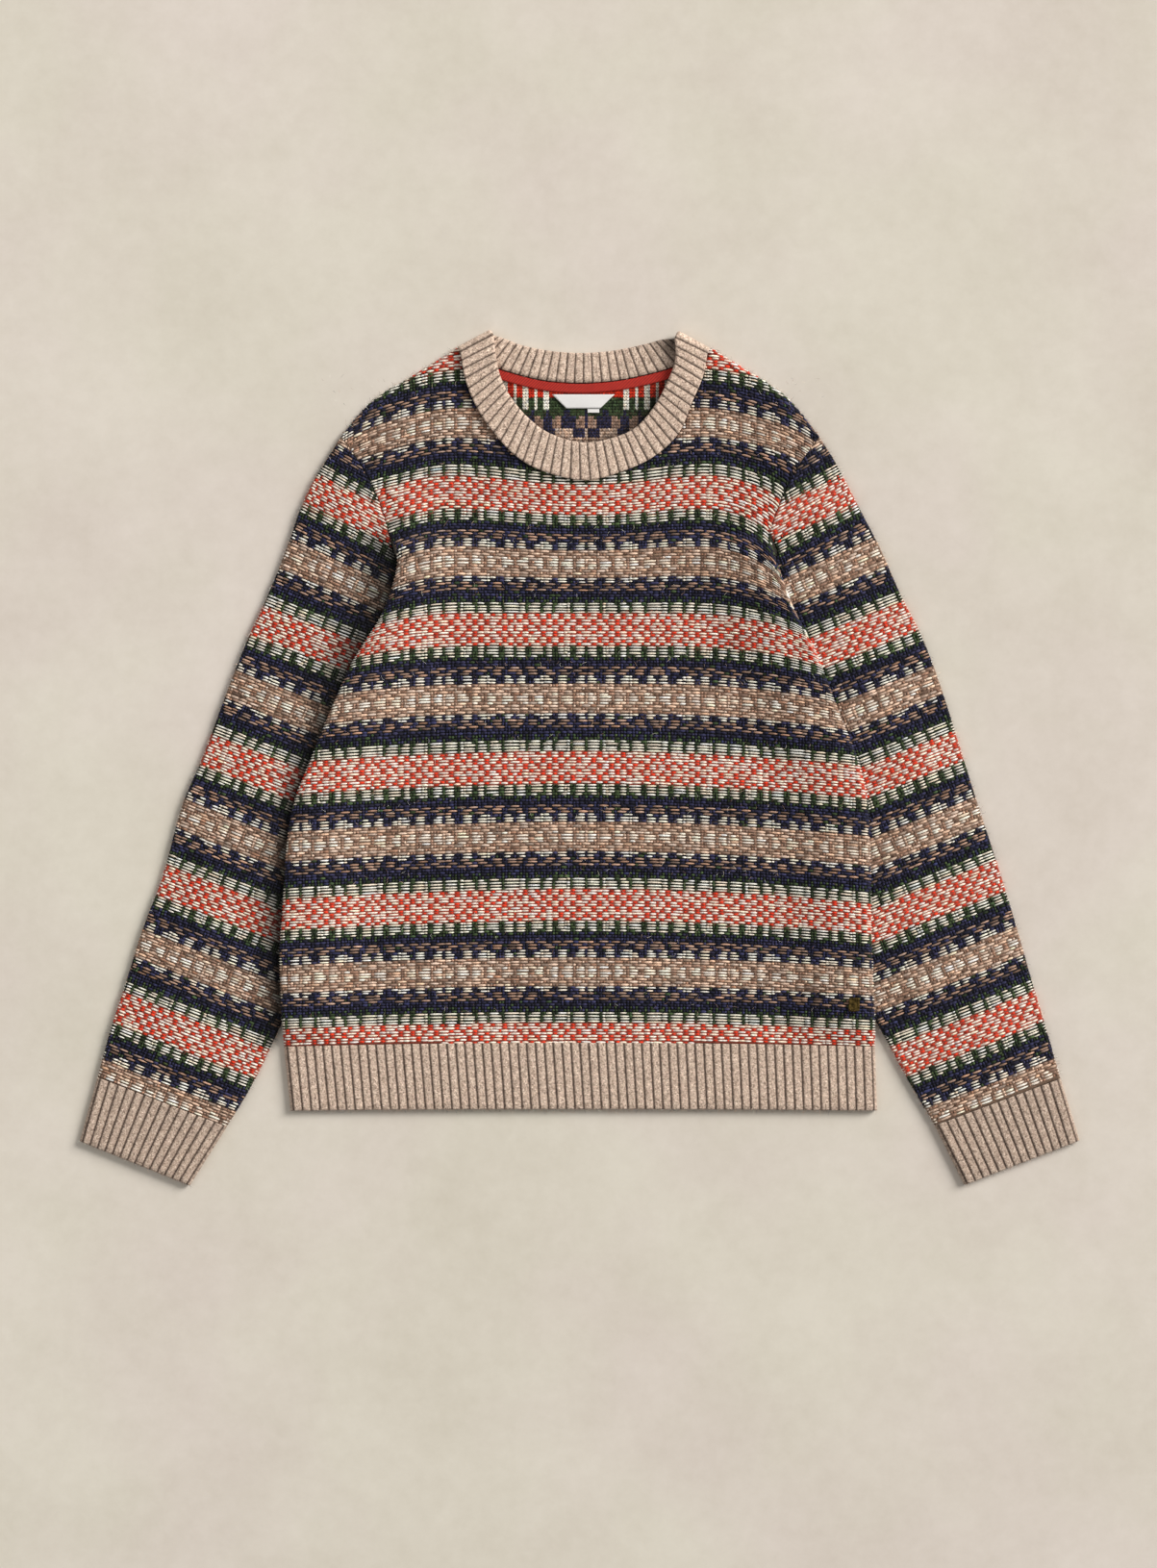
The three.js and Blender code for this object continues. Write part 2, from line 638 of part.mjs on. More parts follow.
// Sections that turn the band over at a shoulder, between two sections on the same line.
function bandFold(lower, upper) {
  const radius = (upper.seam.z - lower.seam.z) / 2;
  const along = lower.free.clone().sub(lower.seam).setZ(0).normalize();
  const outward = spot(-along.y, along.x, 0);
  if (outward.y < 0) outward.negate();
  return [0.25, 0.5, 0.75].map((part) => {
    const facing = part * Math.PI;
    const shift = outward.clone().multiplyScalar(Math.sin(facing) * radius).setZ(0);
    const z = lower.seam.z + radius * (1 + Math.cos(facing));
    return {
      seam: lower.seam.clone().add(shift).setZ(z),
      free: lower.free.clone().add(shift).setZ(z),
      rise: ribRise,
      facing,
      outward,
    };
  });
}

// The neckband: a double ring of rib that turns over at both shoulders.
function neckBand() {
  const half = bandThick / 2;
  const freeRound = { part: 0.93, height: 0.45 };
  const raise = (section) => {
    section.seam.z += half;
    section.free.z += half;
    return section;
  };
  const front = bandSections(bandFront, bandRibs.front, 0).map(raise);
  const back = bandSections(bandBack, bandRibs.back, Math.PI).map(raise);
  const rightFold = bandFold(back[0], front[front.length - 1]);
  const leftFold = bandFold(back[back.length - 1], front[0]).reverse();
  const sections = [...front, ...rightFold, ...back, ...leftFold];
  const outline = [
    { part: 0, side: 1 },
    { part: freeRound.part, side: 1 },
    { part: 1, side: freeRound.height },
    { part: 1, side: -freeRound.height },
    { part: freeRound.part, side: -1 },
    { part: 0, side: -1 },
  ];
  const points = [];
  const faces = [];
  sections.forEach((section) => {
    const turn = (1 + Math.cos(section.facing)) / 2;
    const normal = spot(0, 0, Math.cos(section.facing));
    if (section.outward) normal.addScaledVector(section.outward, Math.sin(section.facing));
    outline.forEach(({ part, side }) => {
      const rise = section.rise * (side > 0 ? turn : 1 - turn) * Math.abs(side);
      const reach = side * half + Math.sign(side) * rise;
      points.push(section.seam.clone().lerp(section.free, part).addScaledVector(normal, reach));
    });
  });
  const count = outline.length;
  sections.forEach((_, k) => {
    const next = ((k + 1) % sections.length) * count;
    for (let i = 0; i < count; i += 1) {
      const j = (i + 1) % count;
      const a = k * count;
      faces.push([a + i, next + i, next + j], [a + i, next + j, a + j]);
    }
  });
  return closedMesh("neckband", points, faces, { color: colour.marl, roughness: 0.95, metalness: 0 });
}

// A thin plate that lies on a face, from rows of plan points.
function plate(name, rows, faceAt, gap, thick, look) {
  const across = rows[0].length;
  const under = rows.flat().map((p) => spot(p.x, p.y, faceAt(p.x, p.y) + gap));
  const face = under.map((p) => spot(p.x, p.y, p.z + thick));
  const quads = [];
  for (let j = 0; j + 1 < rows.length; j += 1) {
    for (let i = 0; i + 1 < across; i += 1) {
      const a = j * across + i;
      quads.push([a, a + 1, a + across + 1, a + across]);
    }
  }
  return wallMesh(name, face, under, quads, look);
}

// The tape follows the back neck seam, just below it.
function neckTape() {
  const parts = 22;
  const seam = smoothCurve(bandBack.map((row) => spot(row.seamX, row.seamY, 0)));
  const inside = seam.getSpacedPoints(200).filter((p) => Math.abs(p.x - 3) < tape.half).reverse();
  const line = Array.from({ length: parts + 1 }, (_, i) => {
    return inside[Math.round((i / parts) * (inside.length - 1))];
  });
  const low = movedIn(line, -(tape.drop + tape.tall));
  const high = movedIn(line, -tape.drop);
  return plate("neck_tape", [low, high], backFace, 0.3, tape.thick, {
    color: colour.tape, roughness: 0.9, metalness: 0,
  });
}

function neckLabel() {
  const rows = [
    [spot(label.footLeft, label.foot, 0), spot(label.footRight, label.foot, 0)],
    [spot(label.topLeft, label.top, 0), spot(label.topRight, label.top, 0)],
  ];
  return plate("neck_label", rows, backFace, 0.3, label.thick, {
    color: colour.label, roughness: 0.8, metalness: 0,
  });
}

function sizeTab() {
  const rows = [
    [spot(tab.left, tab.foot, 0), spot(tab.right, tab.foot, 0)],
    [spot(tab.left, tab.top, 0), spot(tab.right, tab.top, 0)],
  ];
  return plate("size_tab", rows, backFace, 0.3, tab.thick, {
    color: colour.label, roughness: 0.8, metalness: 0,
  });
}

// A small brass plate sewn on above the hem, at the right.
function hemTag() {
  const corner = (u, v) => spot(tag.x + (u * tag.wide) / 2, tag.y + (v * tag.tall) / 2, 0);
  const rows = [-1, 1].map((v) => [corner(-1, v), corner(1, v)]);
  return plate("hem_tag", rows, frontFace, tag.gap, tag.thick, {
    color: colour.brass, roughness: 0.5, metalness: 0.8,
  });
}

const jumper = new THREE.Group();
jumper.add(
  backBody(),
  frontBody(),
  sleeve("left", sleeveLeft),
  sleeve("right", sleeveRight),
  hemRib(),
  cuff("left", sleeveLeft),
  cuff("right", sleeveRight),
  neckBand(),
  neckTape(),
  neckLabel(),
  sizeTab(),
  hemTag(),
);

export default jumper;
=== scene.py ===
import math

import bpy
import numpy as np
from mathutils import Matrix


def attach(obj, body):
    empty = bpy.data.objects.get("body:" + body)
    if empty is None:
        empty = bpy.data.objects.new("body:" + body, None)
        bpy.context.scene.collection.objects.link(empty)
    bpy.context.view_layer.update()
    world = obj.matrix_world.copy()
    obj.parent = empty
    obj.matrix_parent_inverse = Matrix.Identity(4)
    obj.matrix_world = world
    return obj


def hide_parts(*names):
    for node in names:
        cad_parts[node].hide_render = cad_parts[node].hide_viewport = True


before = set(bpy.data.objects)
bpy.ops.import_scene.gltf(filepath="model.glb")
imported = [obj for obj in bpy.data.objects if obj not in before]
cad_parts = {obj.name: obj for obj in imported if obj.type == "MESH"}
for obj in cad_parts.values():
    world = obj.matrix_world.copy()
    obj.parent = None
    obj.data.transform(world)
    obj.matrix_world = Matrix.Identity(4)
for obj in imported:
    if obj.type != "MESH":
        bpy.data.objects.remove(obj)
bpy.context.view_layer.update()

# Fair isle jumper laid flat, purl side out. Lengths are in millimetres until a mesh is made.
# X runs across the body, Y from the hem to the neck, Z up off the surface.

millimetre = 0.001
seeds = {
    "front": 5, "frontStrands": 7, "sleeve": 15, "sleeveStrands": 17, "band": 31, "inside": 42,
    "fibres": 61, "fibreTints": 62,
}


# Small tools

def easeBetween(value, low, high):
    part = np.clip((value - low) / (high - low), 0, 1)
    return part * part * (3 - 2 * part)


def mix(low, high, part):
    return low + (high - low) * part


def bowed(height, part):
    # How far a line stands out between its ends when its middle stands out by height
    return height * 4 * part * (1 - part)


def hump(distance, peak, end):
    # 0 at the start, 1 at the peak, 0 again at the end
    return np.where(distance < peak, easeBetween(distance, 0, peak), 1 - easeBetween(distance, peak, end))


def toLinear(hexColour):
    levels = np.array([(hexColour >> shift) & 255 for shift in (16, 8, 0)]) / 255
    return np.where(levels <= 0.04045, levels / 12.92, ((levels + 0.055) / 1.055) ** 2.4)


def throughPoints(points, steps=16):
    # A smooth line through the points, with so many steps from each to the next
    points = np.asarray(points, float)
    slopes = np.gradient(points, axis=0)
    part = np.linspace(0, 1, steps, endpoint=False)[:, None]
    cubic = [
        2 * part**3 - 3 * part**2 + 1, part**3 - 2 * part**2 + part,
        3 * part**2 - 2 * part**3, part**3 - part**2,
    ]
    line = [
        cubic[0] * points[i] + cubic[1] * slopes[i] + cubic[2] * points[i + 1] + cubic[3] * slopes[i + 1]
        for i in range(len(points) - 1)
    ]
    return np.vstack(line + [points[-1:]])


def lengthsAlong(line):
    return np.concatenate([[0], np.cumsum(np.linalg.norm(np.diff(line, axis=0), axis=1))])


def pickedAt(line, marks, wanted):
    # Points of a line at the wanted marks
    return np.stack([np.interp(wanted, marks, line[:, k]) for k in range(line.shape[1])], axis=1)


def spaced(line, count):
    # Even steps along a line
    lengths = lengthsAlong(line)
    return pickedAt(line, lengths, np.linspace(0, lengths[-1], count))


def movedIn(line, distance):
    # The line moved to its left by the distance
    along = np.gradient(line, axis=0)
    along /= np.linalg.norm(along, axis=1)[:, None]
    return line + distance * np.stack([-along[:, 1], along[:, 0]], axis=1)


def gridQuads(at):
    # Four-sided faces between the neighbours in a grid of point numbers
    return np.stack([at[:-1, :-1], at[:-1, 1:], at[1:, 1:], at[1:, :-1]], axis=-1).reshape(-1, 4)


def ringTriangles(start, count, up, turned=False):
    # Two triangles between each two neighbours on a ring and the two above them
    low = start + np.arange(count)
    lowNext = start + (np.arange(count) + 1) % count
    quad = np.stack([low, lowNext, lowNext + up, low + up], axis=1)
    if turned:
        quad = quad[:, ::-1]
    return [quad[:, [0, 1, 2]], quad[:, [0, 2, 3]]]


def makePiece(name, points, faces, tints, material, replaced=()):
    mesh = bpy.data.meshes.new(name)
    faces = np.asarray(faces, np.int32)
    mesh.vertices.add(len(points))
    mesh.vertices.foreach_set("co", (np.asarray(points) * millimetre).astype(np.float32).ravel())
    mesh.loops.add(faces.size)
    mesh.polygons.add(len(faces))
    mesh.polygons.foreach_set("loop_start", np.arange(0, faces.size, faces.shape[1], dtype=np.int32))
    mesh.polygons.foreach_set("vertices", faces.ravel())
    mesh.polygons.foreach_set("use_smooth", np.ones(len(faces), bool))
    if tints is not None:
        # Colour per point: the yarn's own colour, with any painted shade that the caller multiplied in
        tint = mesh.color_attributes.new("yarn", "FLOAT_COLOR", "POINT")
        rgba = np.ones((len(points), 4), np.float32)
        rgba[:, :3] = tints
        tint.data.foreach_set("color", rgba.ravel())
    mesh.update()
    mesh.validate()
    mesh.materials.append(material)
    piece = bpy.data.objects.new(name, mesh)
    bpy.context.scene.collection.objects.link(piece)
    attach(piece, "root")
    if replaced:
        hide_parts(*replaced)
    return piece


def setStops(elements, stops):
    # Each stop is its place on the ramp and its colour; a new ramp already has two
    for element, (place, colour) in zip(elements, (stops[0], stops[-1])):
        element.position = place
        element.color = (*colour, 1)
    for place, colour in stops[1:-1]:
        elements.new(place).color = (*colour, 1)


def addNode(tree, kind, settings=None, links=None):
    # Settings name a property, an input or a ramp's stops; links give an input the output that feeds it
    node = tree.nodes.new(kind)
    for key, value in (settings or {}).items():
        if key == "stops":
            setStops(node.color_ramp.elements, value)
        elif isinstance(key, str) and hasattr(node, key):
            setattr(node, key, value)
        else:
            node.inputs[key].default_value = value
    for key, source in (links or {}).items():
        tree.links.new(source, node.inputs[key])
    return node


def newMaterial(name):
    # An empty material, its node tree and the object's coordinates
    material = bpy.data.materials.new(name)
    material.use_nodes = True
    tree = material.node_tree
    tree.nodes.clear()
    return material, tree, addNode(tree, "ShaderNodeTexCoord").outputs["Object"]


# Materials

def woolMaterial(name, look):
    # Carded wool, knitted: matt, a little hairy, each yarn spun from fibres of several shades
    material, tree, place = newMaterial(name)
    # The yarn attribute holds each point's yarn colour together with its painted shade
    yarn = addNode(tree, "ShaderNodeAttribute", {"attribute_name": "yarn"}).outputs["Color"]
    fibre = addNode(
        tree, "ShaderNodeTexNoise",
        {"Scale": 1 / (look["fibre"] * millimetre), "Detail": 3.0, "Roughness": 0.65},
        {"Vector": place}).outputs["Fac"]
    shade = addNode(
        tree, "ShaderNodeMapRange",
        {"From Min": 0.3, "From Max": 0.7, "To Min": look["dark"], "To Max": look["light"]},
        {"Value": fibre}).outputs["Result"]
    cells = addNode(
        tree, "ShaderNodeTexVoronoi", {"Scale": 1 / (look["fleck"] * millimetre)},
        {"Vector": place}).outputs["Color"]
    chosen = addNode(tree, "ShaderNodeSeparateColor", None, {"Color": cells}).outputs["Red"]
    stops = [(k / (len(look["flecks"]) - 1), colour) for k, colour in enumerate(look["flecks"])]
    flecks = addNode(tree, "ShaderNodeValToRGB", {"stops": stops}, {"Fac": chosen}).outputs["Color"]
    tinted = addNode(
        tree, "ShaderNodeMix", {"data_type": "RGBA", "blend_type": "MULTIPLY", 0: look["heather"]},
        {6: yarn, 7: flecks}).outputs[2]
    colour = addNode(
        tree, "ShaderNodeVectorMath", {"operation": "SCALE"}, {0: tinted, "Scale": shade}).outputs["Vector"]
    bump = addNode(
        tree, "ShaderNodeBump", {"Strength": look["bump"], "Distance": 0.3 * millimetre},
        {"Height": fibre}).outputs["Normal"]
    wool = addNode(
        tree, "ShaderNodeBsdfPrincipled",
        {"Roughness": 0.92, "IOR": 1.54, "Specular IOR Level": 0.25, "Sheen Weight": look["sheen"],
         "Sheen Roughness": 0.55},
        {"Base Color": colour, "Normal": bump})
    addNode(tree, "ShaderNodeOutputMaterial", None, {"Surface": wool.outputs["BSDF"]})
    return material


# Sizes of fibre and fleck in millimetres; flecks multiply the yarn's colour, from rare darks to rare lights
strandedLook = {
    "fibre": 0.6, "fleck": 1.1, "dark": 0.75, "light": 1.3, "heather": 0.7, "bump": 0.5, "sheen": 0.05,
    "flecks": [
        (0.5, 0.48, 0.48), (0.85, 0.85, 0.85), (1.0, 0.95, 0.9), (1.0, 1.02, 1.0), (1.6, 1.55, 1.5)],
}
marlLook = {
    "fibre": 0.7, "fleck": 0.85, "dark": 0.7, "light": 1.3, "heather": 1.0, "bump": 0.6, "sheen": 0.08,
    "flecks": [
        (0.45, 0.4, 0.38), (0.9, 0.84, 0.78), (1.06, 0.98, 0.98), (1.08, 1.06, 1.0), (1.5, 1.5, 1.5)],
}
strandedWool = woolMaterial("strandedWool", strandedLook)
marledWool = woolMaterial("marledWool", marlLook)


def tapeMaterial():
    # Cotton twill tape: matt, close diagonal weave
    material, tree, place = newMaterial("cottonTwill")
    turned = addNode(
        tree, "ShaderNodeMapping", {"Rotation": (0, 0, 0.8)}, {"Vector": place}).outputs["Vector"]
    twill = addNode(  # twill lines 1.7 mm apart, coarser than real to show
        tree, "ShaderNodeTexWave", {"Scale": 180.0, "Distortion": 1.2, "Detail": 1.0},
        {"Vector": turned}).outputs["Fac"]
    worn = addNode(
        tree, "ShaderNodeTexNoise", {"Scale": 260.0, "Detail": 3.0}, {"Vector": place}).outputs["Fac"]
    both = addNode(
        tree, "ShaderNodeMath", {"operation": "MULTIPLY"}, {0: twill, 1: worn}).outputs["Value"]
    red = addNode(
        tree, "ShaderNodeValToRGB", {"stops": [(0.0, toLinear(0x8E2420)), (0.45, toLinear(0xBE3326))]},
        {"Fac": both}).outputs["Color"]
    bump = addNode(
        tree, "ShaderNodeBump", {"Strength": 0.5, "Distance": 0.3 * millimetre},
        {"Height": both}).outputs["Normal"]
    cotton = addNode(
        tree, "ShaderNodeBsdfPrincipled", {"Roughness": 0.85, "IOR": 1.5, "Specular IOR Level": 0.3},
        {"Base Color": red, "Normal": bump})
    addNode(tree, "ShaderNodeOutputMaterial", None, {"Surface": cotton.outputs["BSDF"]})
    return material


def labelMaterial():
    # Woven polyester satin: smooth pale threads 0.3 mm apart with a soft gloss
    material, tree, place = newMaterial("wovenSatin")
    threads = addNode(
        tree, "ShaderNodeTexWave", {"bands_direction": "Y", "Scale": 1000.0, "Distortion": 0.4},
        {"Vector": place}).outputs["Fac"]
    white = addNode(
        tree, "ShaderNodeValToRGB", {"stops": [(0.0, toLinear(0xDFDDDA)), (1.0, toLinear(0xF3F2F0))]},
        {"Fac": threads}).outputs["Color"]
    bump = addNode(
        tree, "ShaderNodeBump", {"Strength": 0.3, "Distance": 0.2 * millimetre},
        {"Height": threads}).outputs["Normal"]
    satin = addNode(
        tree, "ShaderNodeBsdfPrincipled", {"Roughness": 0.5, "IOR": 1.5, "Specular IOR Level": 0.5},
        {"Base Color": white, "Normal": bump})
    addNode(tree, "ShaderNodeOutputMaterial", None, {"Surface": satin.outputs["BSDF"]})
    return material


def brassMaterial():
    # Aged brass: dark olive film, brighter where it has been rubbed
    material, tree, place = newMaterial("agedBrass")
    patches = addNode(
        tree, "ShaderNodeTexNoise", {"Scale": 500.0, "Detail": 5.0}, {"Vector": place}).outputs["Fac"]
    film = addNode(
        tree, "ShaderNodeValToRGB", {"stops": [(0.35, toLinear(0x2E2616)), (0.75, toLinear(0x8A7340))]},
        {"Fac": patches}).outputs["Color"]
    rough = addNode(
        tree, "ShaderNodeMapRange", {"To Min": 0.35, "To Max": 0.6}, {"Value": patches}).outputs["Result"]
    brass = addNode(
        tree, "ShaderNodeBsdfPrincipled", {"Metallic": 1.0}, {"Base Color": film, "Roughness": rough})
    addNode(tree, "ShaderNodeOutputMaterial", None, {"Surface": brass.outputs["BSDF"]})
    return material


cottonTwill = tapeMaterial()
wovenSatin = labelMaterial()
agedBrass = brassMaterial()
print("materials made")


# Chart: 47 rows, 48 stitches wide and the same on both sides of its middle.
# Each line is read from the middle outward. A capital starts a run of its own.

knit = {"stitch": 2.333, "row": 2.3, "middle": 3.8, "repeat": 48, "rows": 47}
yarns = {
    "n": 0x2A2A45,  # navy
    "g": 0x3A4A2E,  # bottle green
    "b": 0xA78978,  # brown
    "m": 0x9E7D6B,  # rose brown
    "t": 0xD8BCA8,  # taupe
    "p": 0xFFF2E4,  # oatmeal
    "c": 0xFFF6E8,  # cream
    "w": 0xFFF1E4,  # the same cream, drawn out between red dots
    "r": 0xDC3A1E,  # red
}
# Painted shade between the strands: the cloth seen there, coloured far darker than the strands to stand in
# for their shade
under = {"n": 0x0A0B12, "g": 0x1A2114, "b": 0x101016, "t": 0x7A6454, "c": 0x14141A, "r": 0xA05040}
# Thickness of a strand, as a share of the usual one
thickness = {
    "n": 1.1, "g": 1.05, "b": 0.84, "m": 0.95, "t": 0.95, "p": 0.84, "c": 0.7, "w": 0.82, "r": 0.86,
}
# Odd stitches: the yarn that takes a run's place, and how often
strays = {"r": ("w", 0.11), "p": ("t", 0.16), "t": ("m", 0.1), "n": ("g", 0.05), "b": ("n", 0.06)}
# How far the depth of colour differs from run to run
spreads = {"n": 0.6, "g": 0.5, "b": 0.3, "m": 0.28, "t": 0.24, "p": 0.12, "c": 0.1, "w": 0.08, "r": 0.16}
# How far a run stops short of its ends, in columns; below 0 it reaches past them
drawnIn = {
    "n": 0.06, "g": 0.08, "b": -0.1, "m": 0.03, "t": 0.03, "p": -0.05, "c": -0.1, "w": -0.18, "r": 0.26,
}
chartLines = {
    "creamOnGreen": ("gccccgCccccgcccgccccgcccc", "g"),
    "creamHigh": ("gccccgCcccggccggcccggcccc", "g"),
    "creamLow": ("gcccggcCccggccgccccggcccg", "g"),
    "creamEdge": ("ggccggCccgggccgggccggcccg", "g"),
    "navyGreen": ("nngngngnnngngnngngnngngnn", "n"),
    "greenNavy": ("gnnggnggnnggngnnggnngnggn", "n"),
    "navy": ("nnnnnnnnnnnnnnnnnnnnnnnnn", "n"),
    "brownLow": ("bbbnnbbbnbbbnnbbbnbbbnnbb", "b"),
    "brownMiddle": ("nnbbbnnbbbnnbbbnnbbbnnbbb", "b"),
    "brownHigh": ("bbbnnnbbbnnbbbnnnbbbnnbbb", "b"),
    "creamOnNavy": ("ncccnnncccnncccCccnnncccn", "c"),
    "creamSparse": ("nccnnnncccnnnccCnnnnnccnn", "n"),
    "taupeFirst": ("tttmmtttttmmttttmmtttttmm", "t"),
    "taupeSecond": ("mttttmmttttttmmttttmttttt", "t"),
    "taupeThird": ("ttmmttttmmttttttmmtttmmtt", "t"),
    "creamOnTaupe": ("tpppmppppmppptmpppmmppppm", "t"),
    "creamHalf": ("tpptmpppmmppttmpptttpptmm", "t"),
    "redFirst": ("rrwwrrwwrrwwrrwwrrwwrrwwr", "r"),
    "redSecond": ("wwrrwwrrwwrrwwrrwwwrwwrrw", "r"),
    "redThird": ("rwwwrrwwrrwwrrwwrwwwrrwwr", "r"),
    "redFourth": ("wwrrwwwrwwrrwwrrwwrrwwrww", "r"),
}
chartRows = (  # from a red band's top line upward
    ["creamOnGreen"] * 3 + ["creamHigh", "greenNavy", "navyGreen"] + ["navy"] * 2
    + ["brownLow", "brownMiddle", "brownHigh", "creamSparse", "creamOnNavy"]
    + ["taupeFirst", "taupeSecond", "taupeThird", "creamHalf", "creamOnTaupe", "creamOnTaupe"]
    + ["creamHalf", "taupeThird", "taupeSecond", "taupeFirst", "creamOnNavy", "creamOnNavy", "creamSparse"]
    + ["brownHigh", "brownMiddle", "brownLow"] + ["navy"] * 2
    + ["greenNavy", "creamEdge"] + ["creamLow"] * 3
    + ["redSecond", "redFirst", "redThird", "redSecond", "redFourth", "redThird", "redFirst", "redFourth"]
    + ["redSecond", "redThird", "redFirst"]
)
yarnColours = {key: toLinear(value) for key, value in yarns.items()}
strandShadeColours = np.array([toLinear(under[chartLines[line][1]]) for line in chartRows])


def letterAt(line, column):
    # A line repeats, and is the same on both sides of its middle
    half = knit["repeat"] // 2
    return line[abs((column + half) % knit["repeat"] - half)]


def yarnAt(row, column):
    return letterAt(chartLines[chartRows[row % knit["rows"]]][0], column)


# Painted shade between the strands, row by row
def strandShadeTint(rows):
    return strandShadeColours[np.floor(rows).astype(int) % knit["rows"]]


# Form of the body, as the CAD has it

body = {
    "sideY": [-227, -210, -168, -144, -102, -74, -36, -2, 34, 70, 89, 112, 138, 159, 176],
    "left": [-233.3, -234, -236, -235.6, -232.6, -231, -225, -212, -197.5, -181.5, -170.5, -156, -146.5,
             -143.8, -150],
    "right": [232.6, 232, 230.5, 229.5, 228.8, 228.3, 226.5, 219, 204.5, 191, 183, 170.5, 160,
              153, 149.2],
    "tipY": 252, "tipLeft": -188, "tipRight": 188.6, "pitY": 176,
    "shoulderY": [252, 269.3, 285.5, 297.5, 309, 323.1],
    "shoulderLeft": [-188, -175, -157.6, -137.1, -118.9, -96.2],
    "shoulderRight": [188.6, 176, 161, 144, 125, 103],
    "armholeBow": 4.5, "hemBow": 3, "wall": 2.4, "gap": 0.4, "roll": 6, "underBand": 0.6,
    "edgeSteps": 20, "seamSteps": 40,
}
# How it lies over the sleeves; its slope down from them runs further in than the CAD's
over = {
    "lift": 6.8, "full": 24, "none": 80, "riseStart": 178, "riseFull": 161,
    "fallFull": -210, "fallEnd": -229, "fallRest": 0.1,
    "fold": 0.7, "foldPeak": 12, "foldEnd": 50,
    "pit": 3.2, "pitPeak": 18, "pitEnd": 44, "pitTop": 222, "pitLow": 150, "pitMiddle": 180,
    "stillLow": -227, "stillHigh": -205, "stillReach": 25, "turnLow": 3, "turnHigh": 12,
}


def edgeLine(side):
    # A side of the body in plan: the turned edge, the sleeve's seam, then the shoulder
    inward = 1 if side == "left" else -1
    tip = body["tipLeft"] if side == "left" else body["tipRight"]
    fold = throughPoints(np.stack([body[side], body["sideY"]], axis=1), body["edgeSteps"])
    part = np.linspace(1, 0, body["seamSteps"])[1:]
    out = bowed(body["armholeBow"], part)
    seam = np.stack([mix(tip, body[side][-1], part) + out * inward,
                     mix(body["tipY"], body["pitY"], part) + out * 0.5], axis=1)
    shoulder = np.stack([body["shoulder" + side.title()], body["shoulderY"]], axis=1)
    return np.vstack([fold, seam, throughPoints(shoulder, body["edgeSteps"])[1:]])


edges = {side: edgeLine(side) for side in ("left", "right")}
levels = np.arange(-232, 326, 1.0)
edgeX = {side: np.interp(levels, edges[side][:, 1], edges[side][:, 0]) for side in edges}
smoothing = np.ones(9) / 9


def leanOf(side):
    # Cosine of the outline's slope at each level
    slope = np.convolve(np.gradient(edgeX[side], levels), smoothing, "same")
    return 1 / np.sqrt(1 + slope**2)


leans = {side: leanOf(side) for side in edges}


def bySide(x, y, table):
    # A value at a height, from the table of the side that the point is on
    return np.where(x < 0, np.interp(y, levels, table["left"]), np.interp(y, levels, table["right"]))


def sideDistance(x, y):
    # How far in from the body's side edges a plan point lies
    low = np.minimum(y, body["tipY"])
    beyond = np.maximum(y - body["tipY"], 0) * 0.5
    left = x - np.interp(low, levels, edgeX["left"]) + beyond
    right = np.interp(low, levels, edgeX["right"]) + beyond - x
    return np.maximum(0, np.minimum(left, right))


def foldedPart(y):
    # 1 where the body lies over the sleeves
    return (1 - easeBetween(y, over["riseFull"], over["riseStart"])) * easeBetween(
        y, over["fallEnd"], over["fallFull"])


def liftAt(x, y):
    # How high the sleeves beneath hold the body up
    rise = 1 - easeBetween(y, over["riseFull"], over["riseStart"])
    fall = mix(over["fallRest"], 1, easeBetween(y, over["fallEnd"], over["fallFull"]))
    return over["lift"] * rise * fall * (1 - easeBetween(sideDistance(x, y), over["full"], over["none"]))


# Soft uneven creases, placed one by one: from, to, height of the ridge (or depth), width
creases = [
    (-150, 150, -118, 88, 0.9, 9), (-138, 128, -96, 40, -0.6, 11), (156, 150, 120, 92, 1.0, 9),
    (150, 132, 108, 30, -0.7, 12), (-168, 236, -120, 262, 0.7, 12), (170, 236, 126, 258, 0.8, 12),
    (-196, 20, -150, -40, 0.4, 14), (204, 24, 160, -50, 0.35, 16), (-60, 150, 40, 138, 0.4, 18),
    (-120, -60, 20, -84, 0.4, 22), (60, -140, 190, -120, 0.3, 20), (-190, -150, -80, -168, 0.4, 18),
]


creaseEnds = {"start": (-0.15, 0.3), "end": (0.7, 1.15)}  # where a crease fades, in parts of its length


def creaseAt(x, y, lines):
    total = np.zeros(np.broadcast(x, y).shape)
    for x0, y0, x1, y1, height, width in lines:
        along = np.array([x1 - x0, y1 - y0], float)
        length = np.linalg.norm(along)
        along /= length
        part = ((x - x0) * along[0] + (y - y0) * along[1]) / length
        away = np.abs((x - x0) * along[1] - (y - y0) * along[0]) / width
        ends = easeBetween(part, *creaseEnds["start"]) * (1 - easeBetween(part, *creaseEnds["end"]))
        total += height * np.exp(-away**2) * ends
    return total


def unevenAt(x, y):
    # Long low waves that keep the cloth from looking pressed
    return (0.28 * np.sin(x / 31 + 1.3 * np.sin(y / 57)) * np.sin(y / 39 + 0.7)
            + 0.16 * np.sin(x / 17 + y / 23 + 1.1) * np.sin(y / 19 - x / 41))


def frontFace(x, y):
    distance = sideDistance(x, y)
    fold = over["fold"] * hump(distance, over["foldPeak"], over["foldEnd"]) * foldedPart(y)
    pit = over["pit"] * hump(distance, over["pitPeak"], over["pitEnd"])
    pit = pit * (1 - easeBetween(y, over["pitMiddle"], over["pitTop"])) * easeBetween(
        y, over["pitLow"], over["pitMiddle"])
    still = easeBetween(y, over["stillLow"], over["stillHigh"])
    still = still * easeBetween(distance, 0, over["stillReach"])
    soft = (creaseAt(x, y, creases) + unevenAt(x, y)) * still
    return liftAt(x, y) + 2 * body["wall"] + body["gap"] + fold + pit + soft


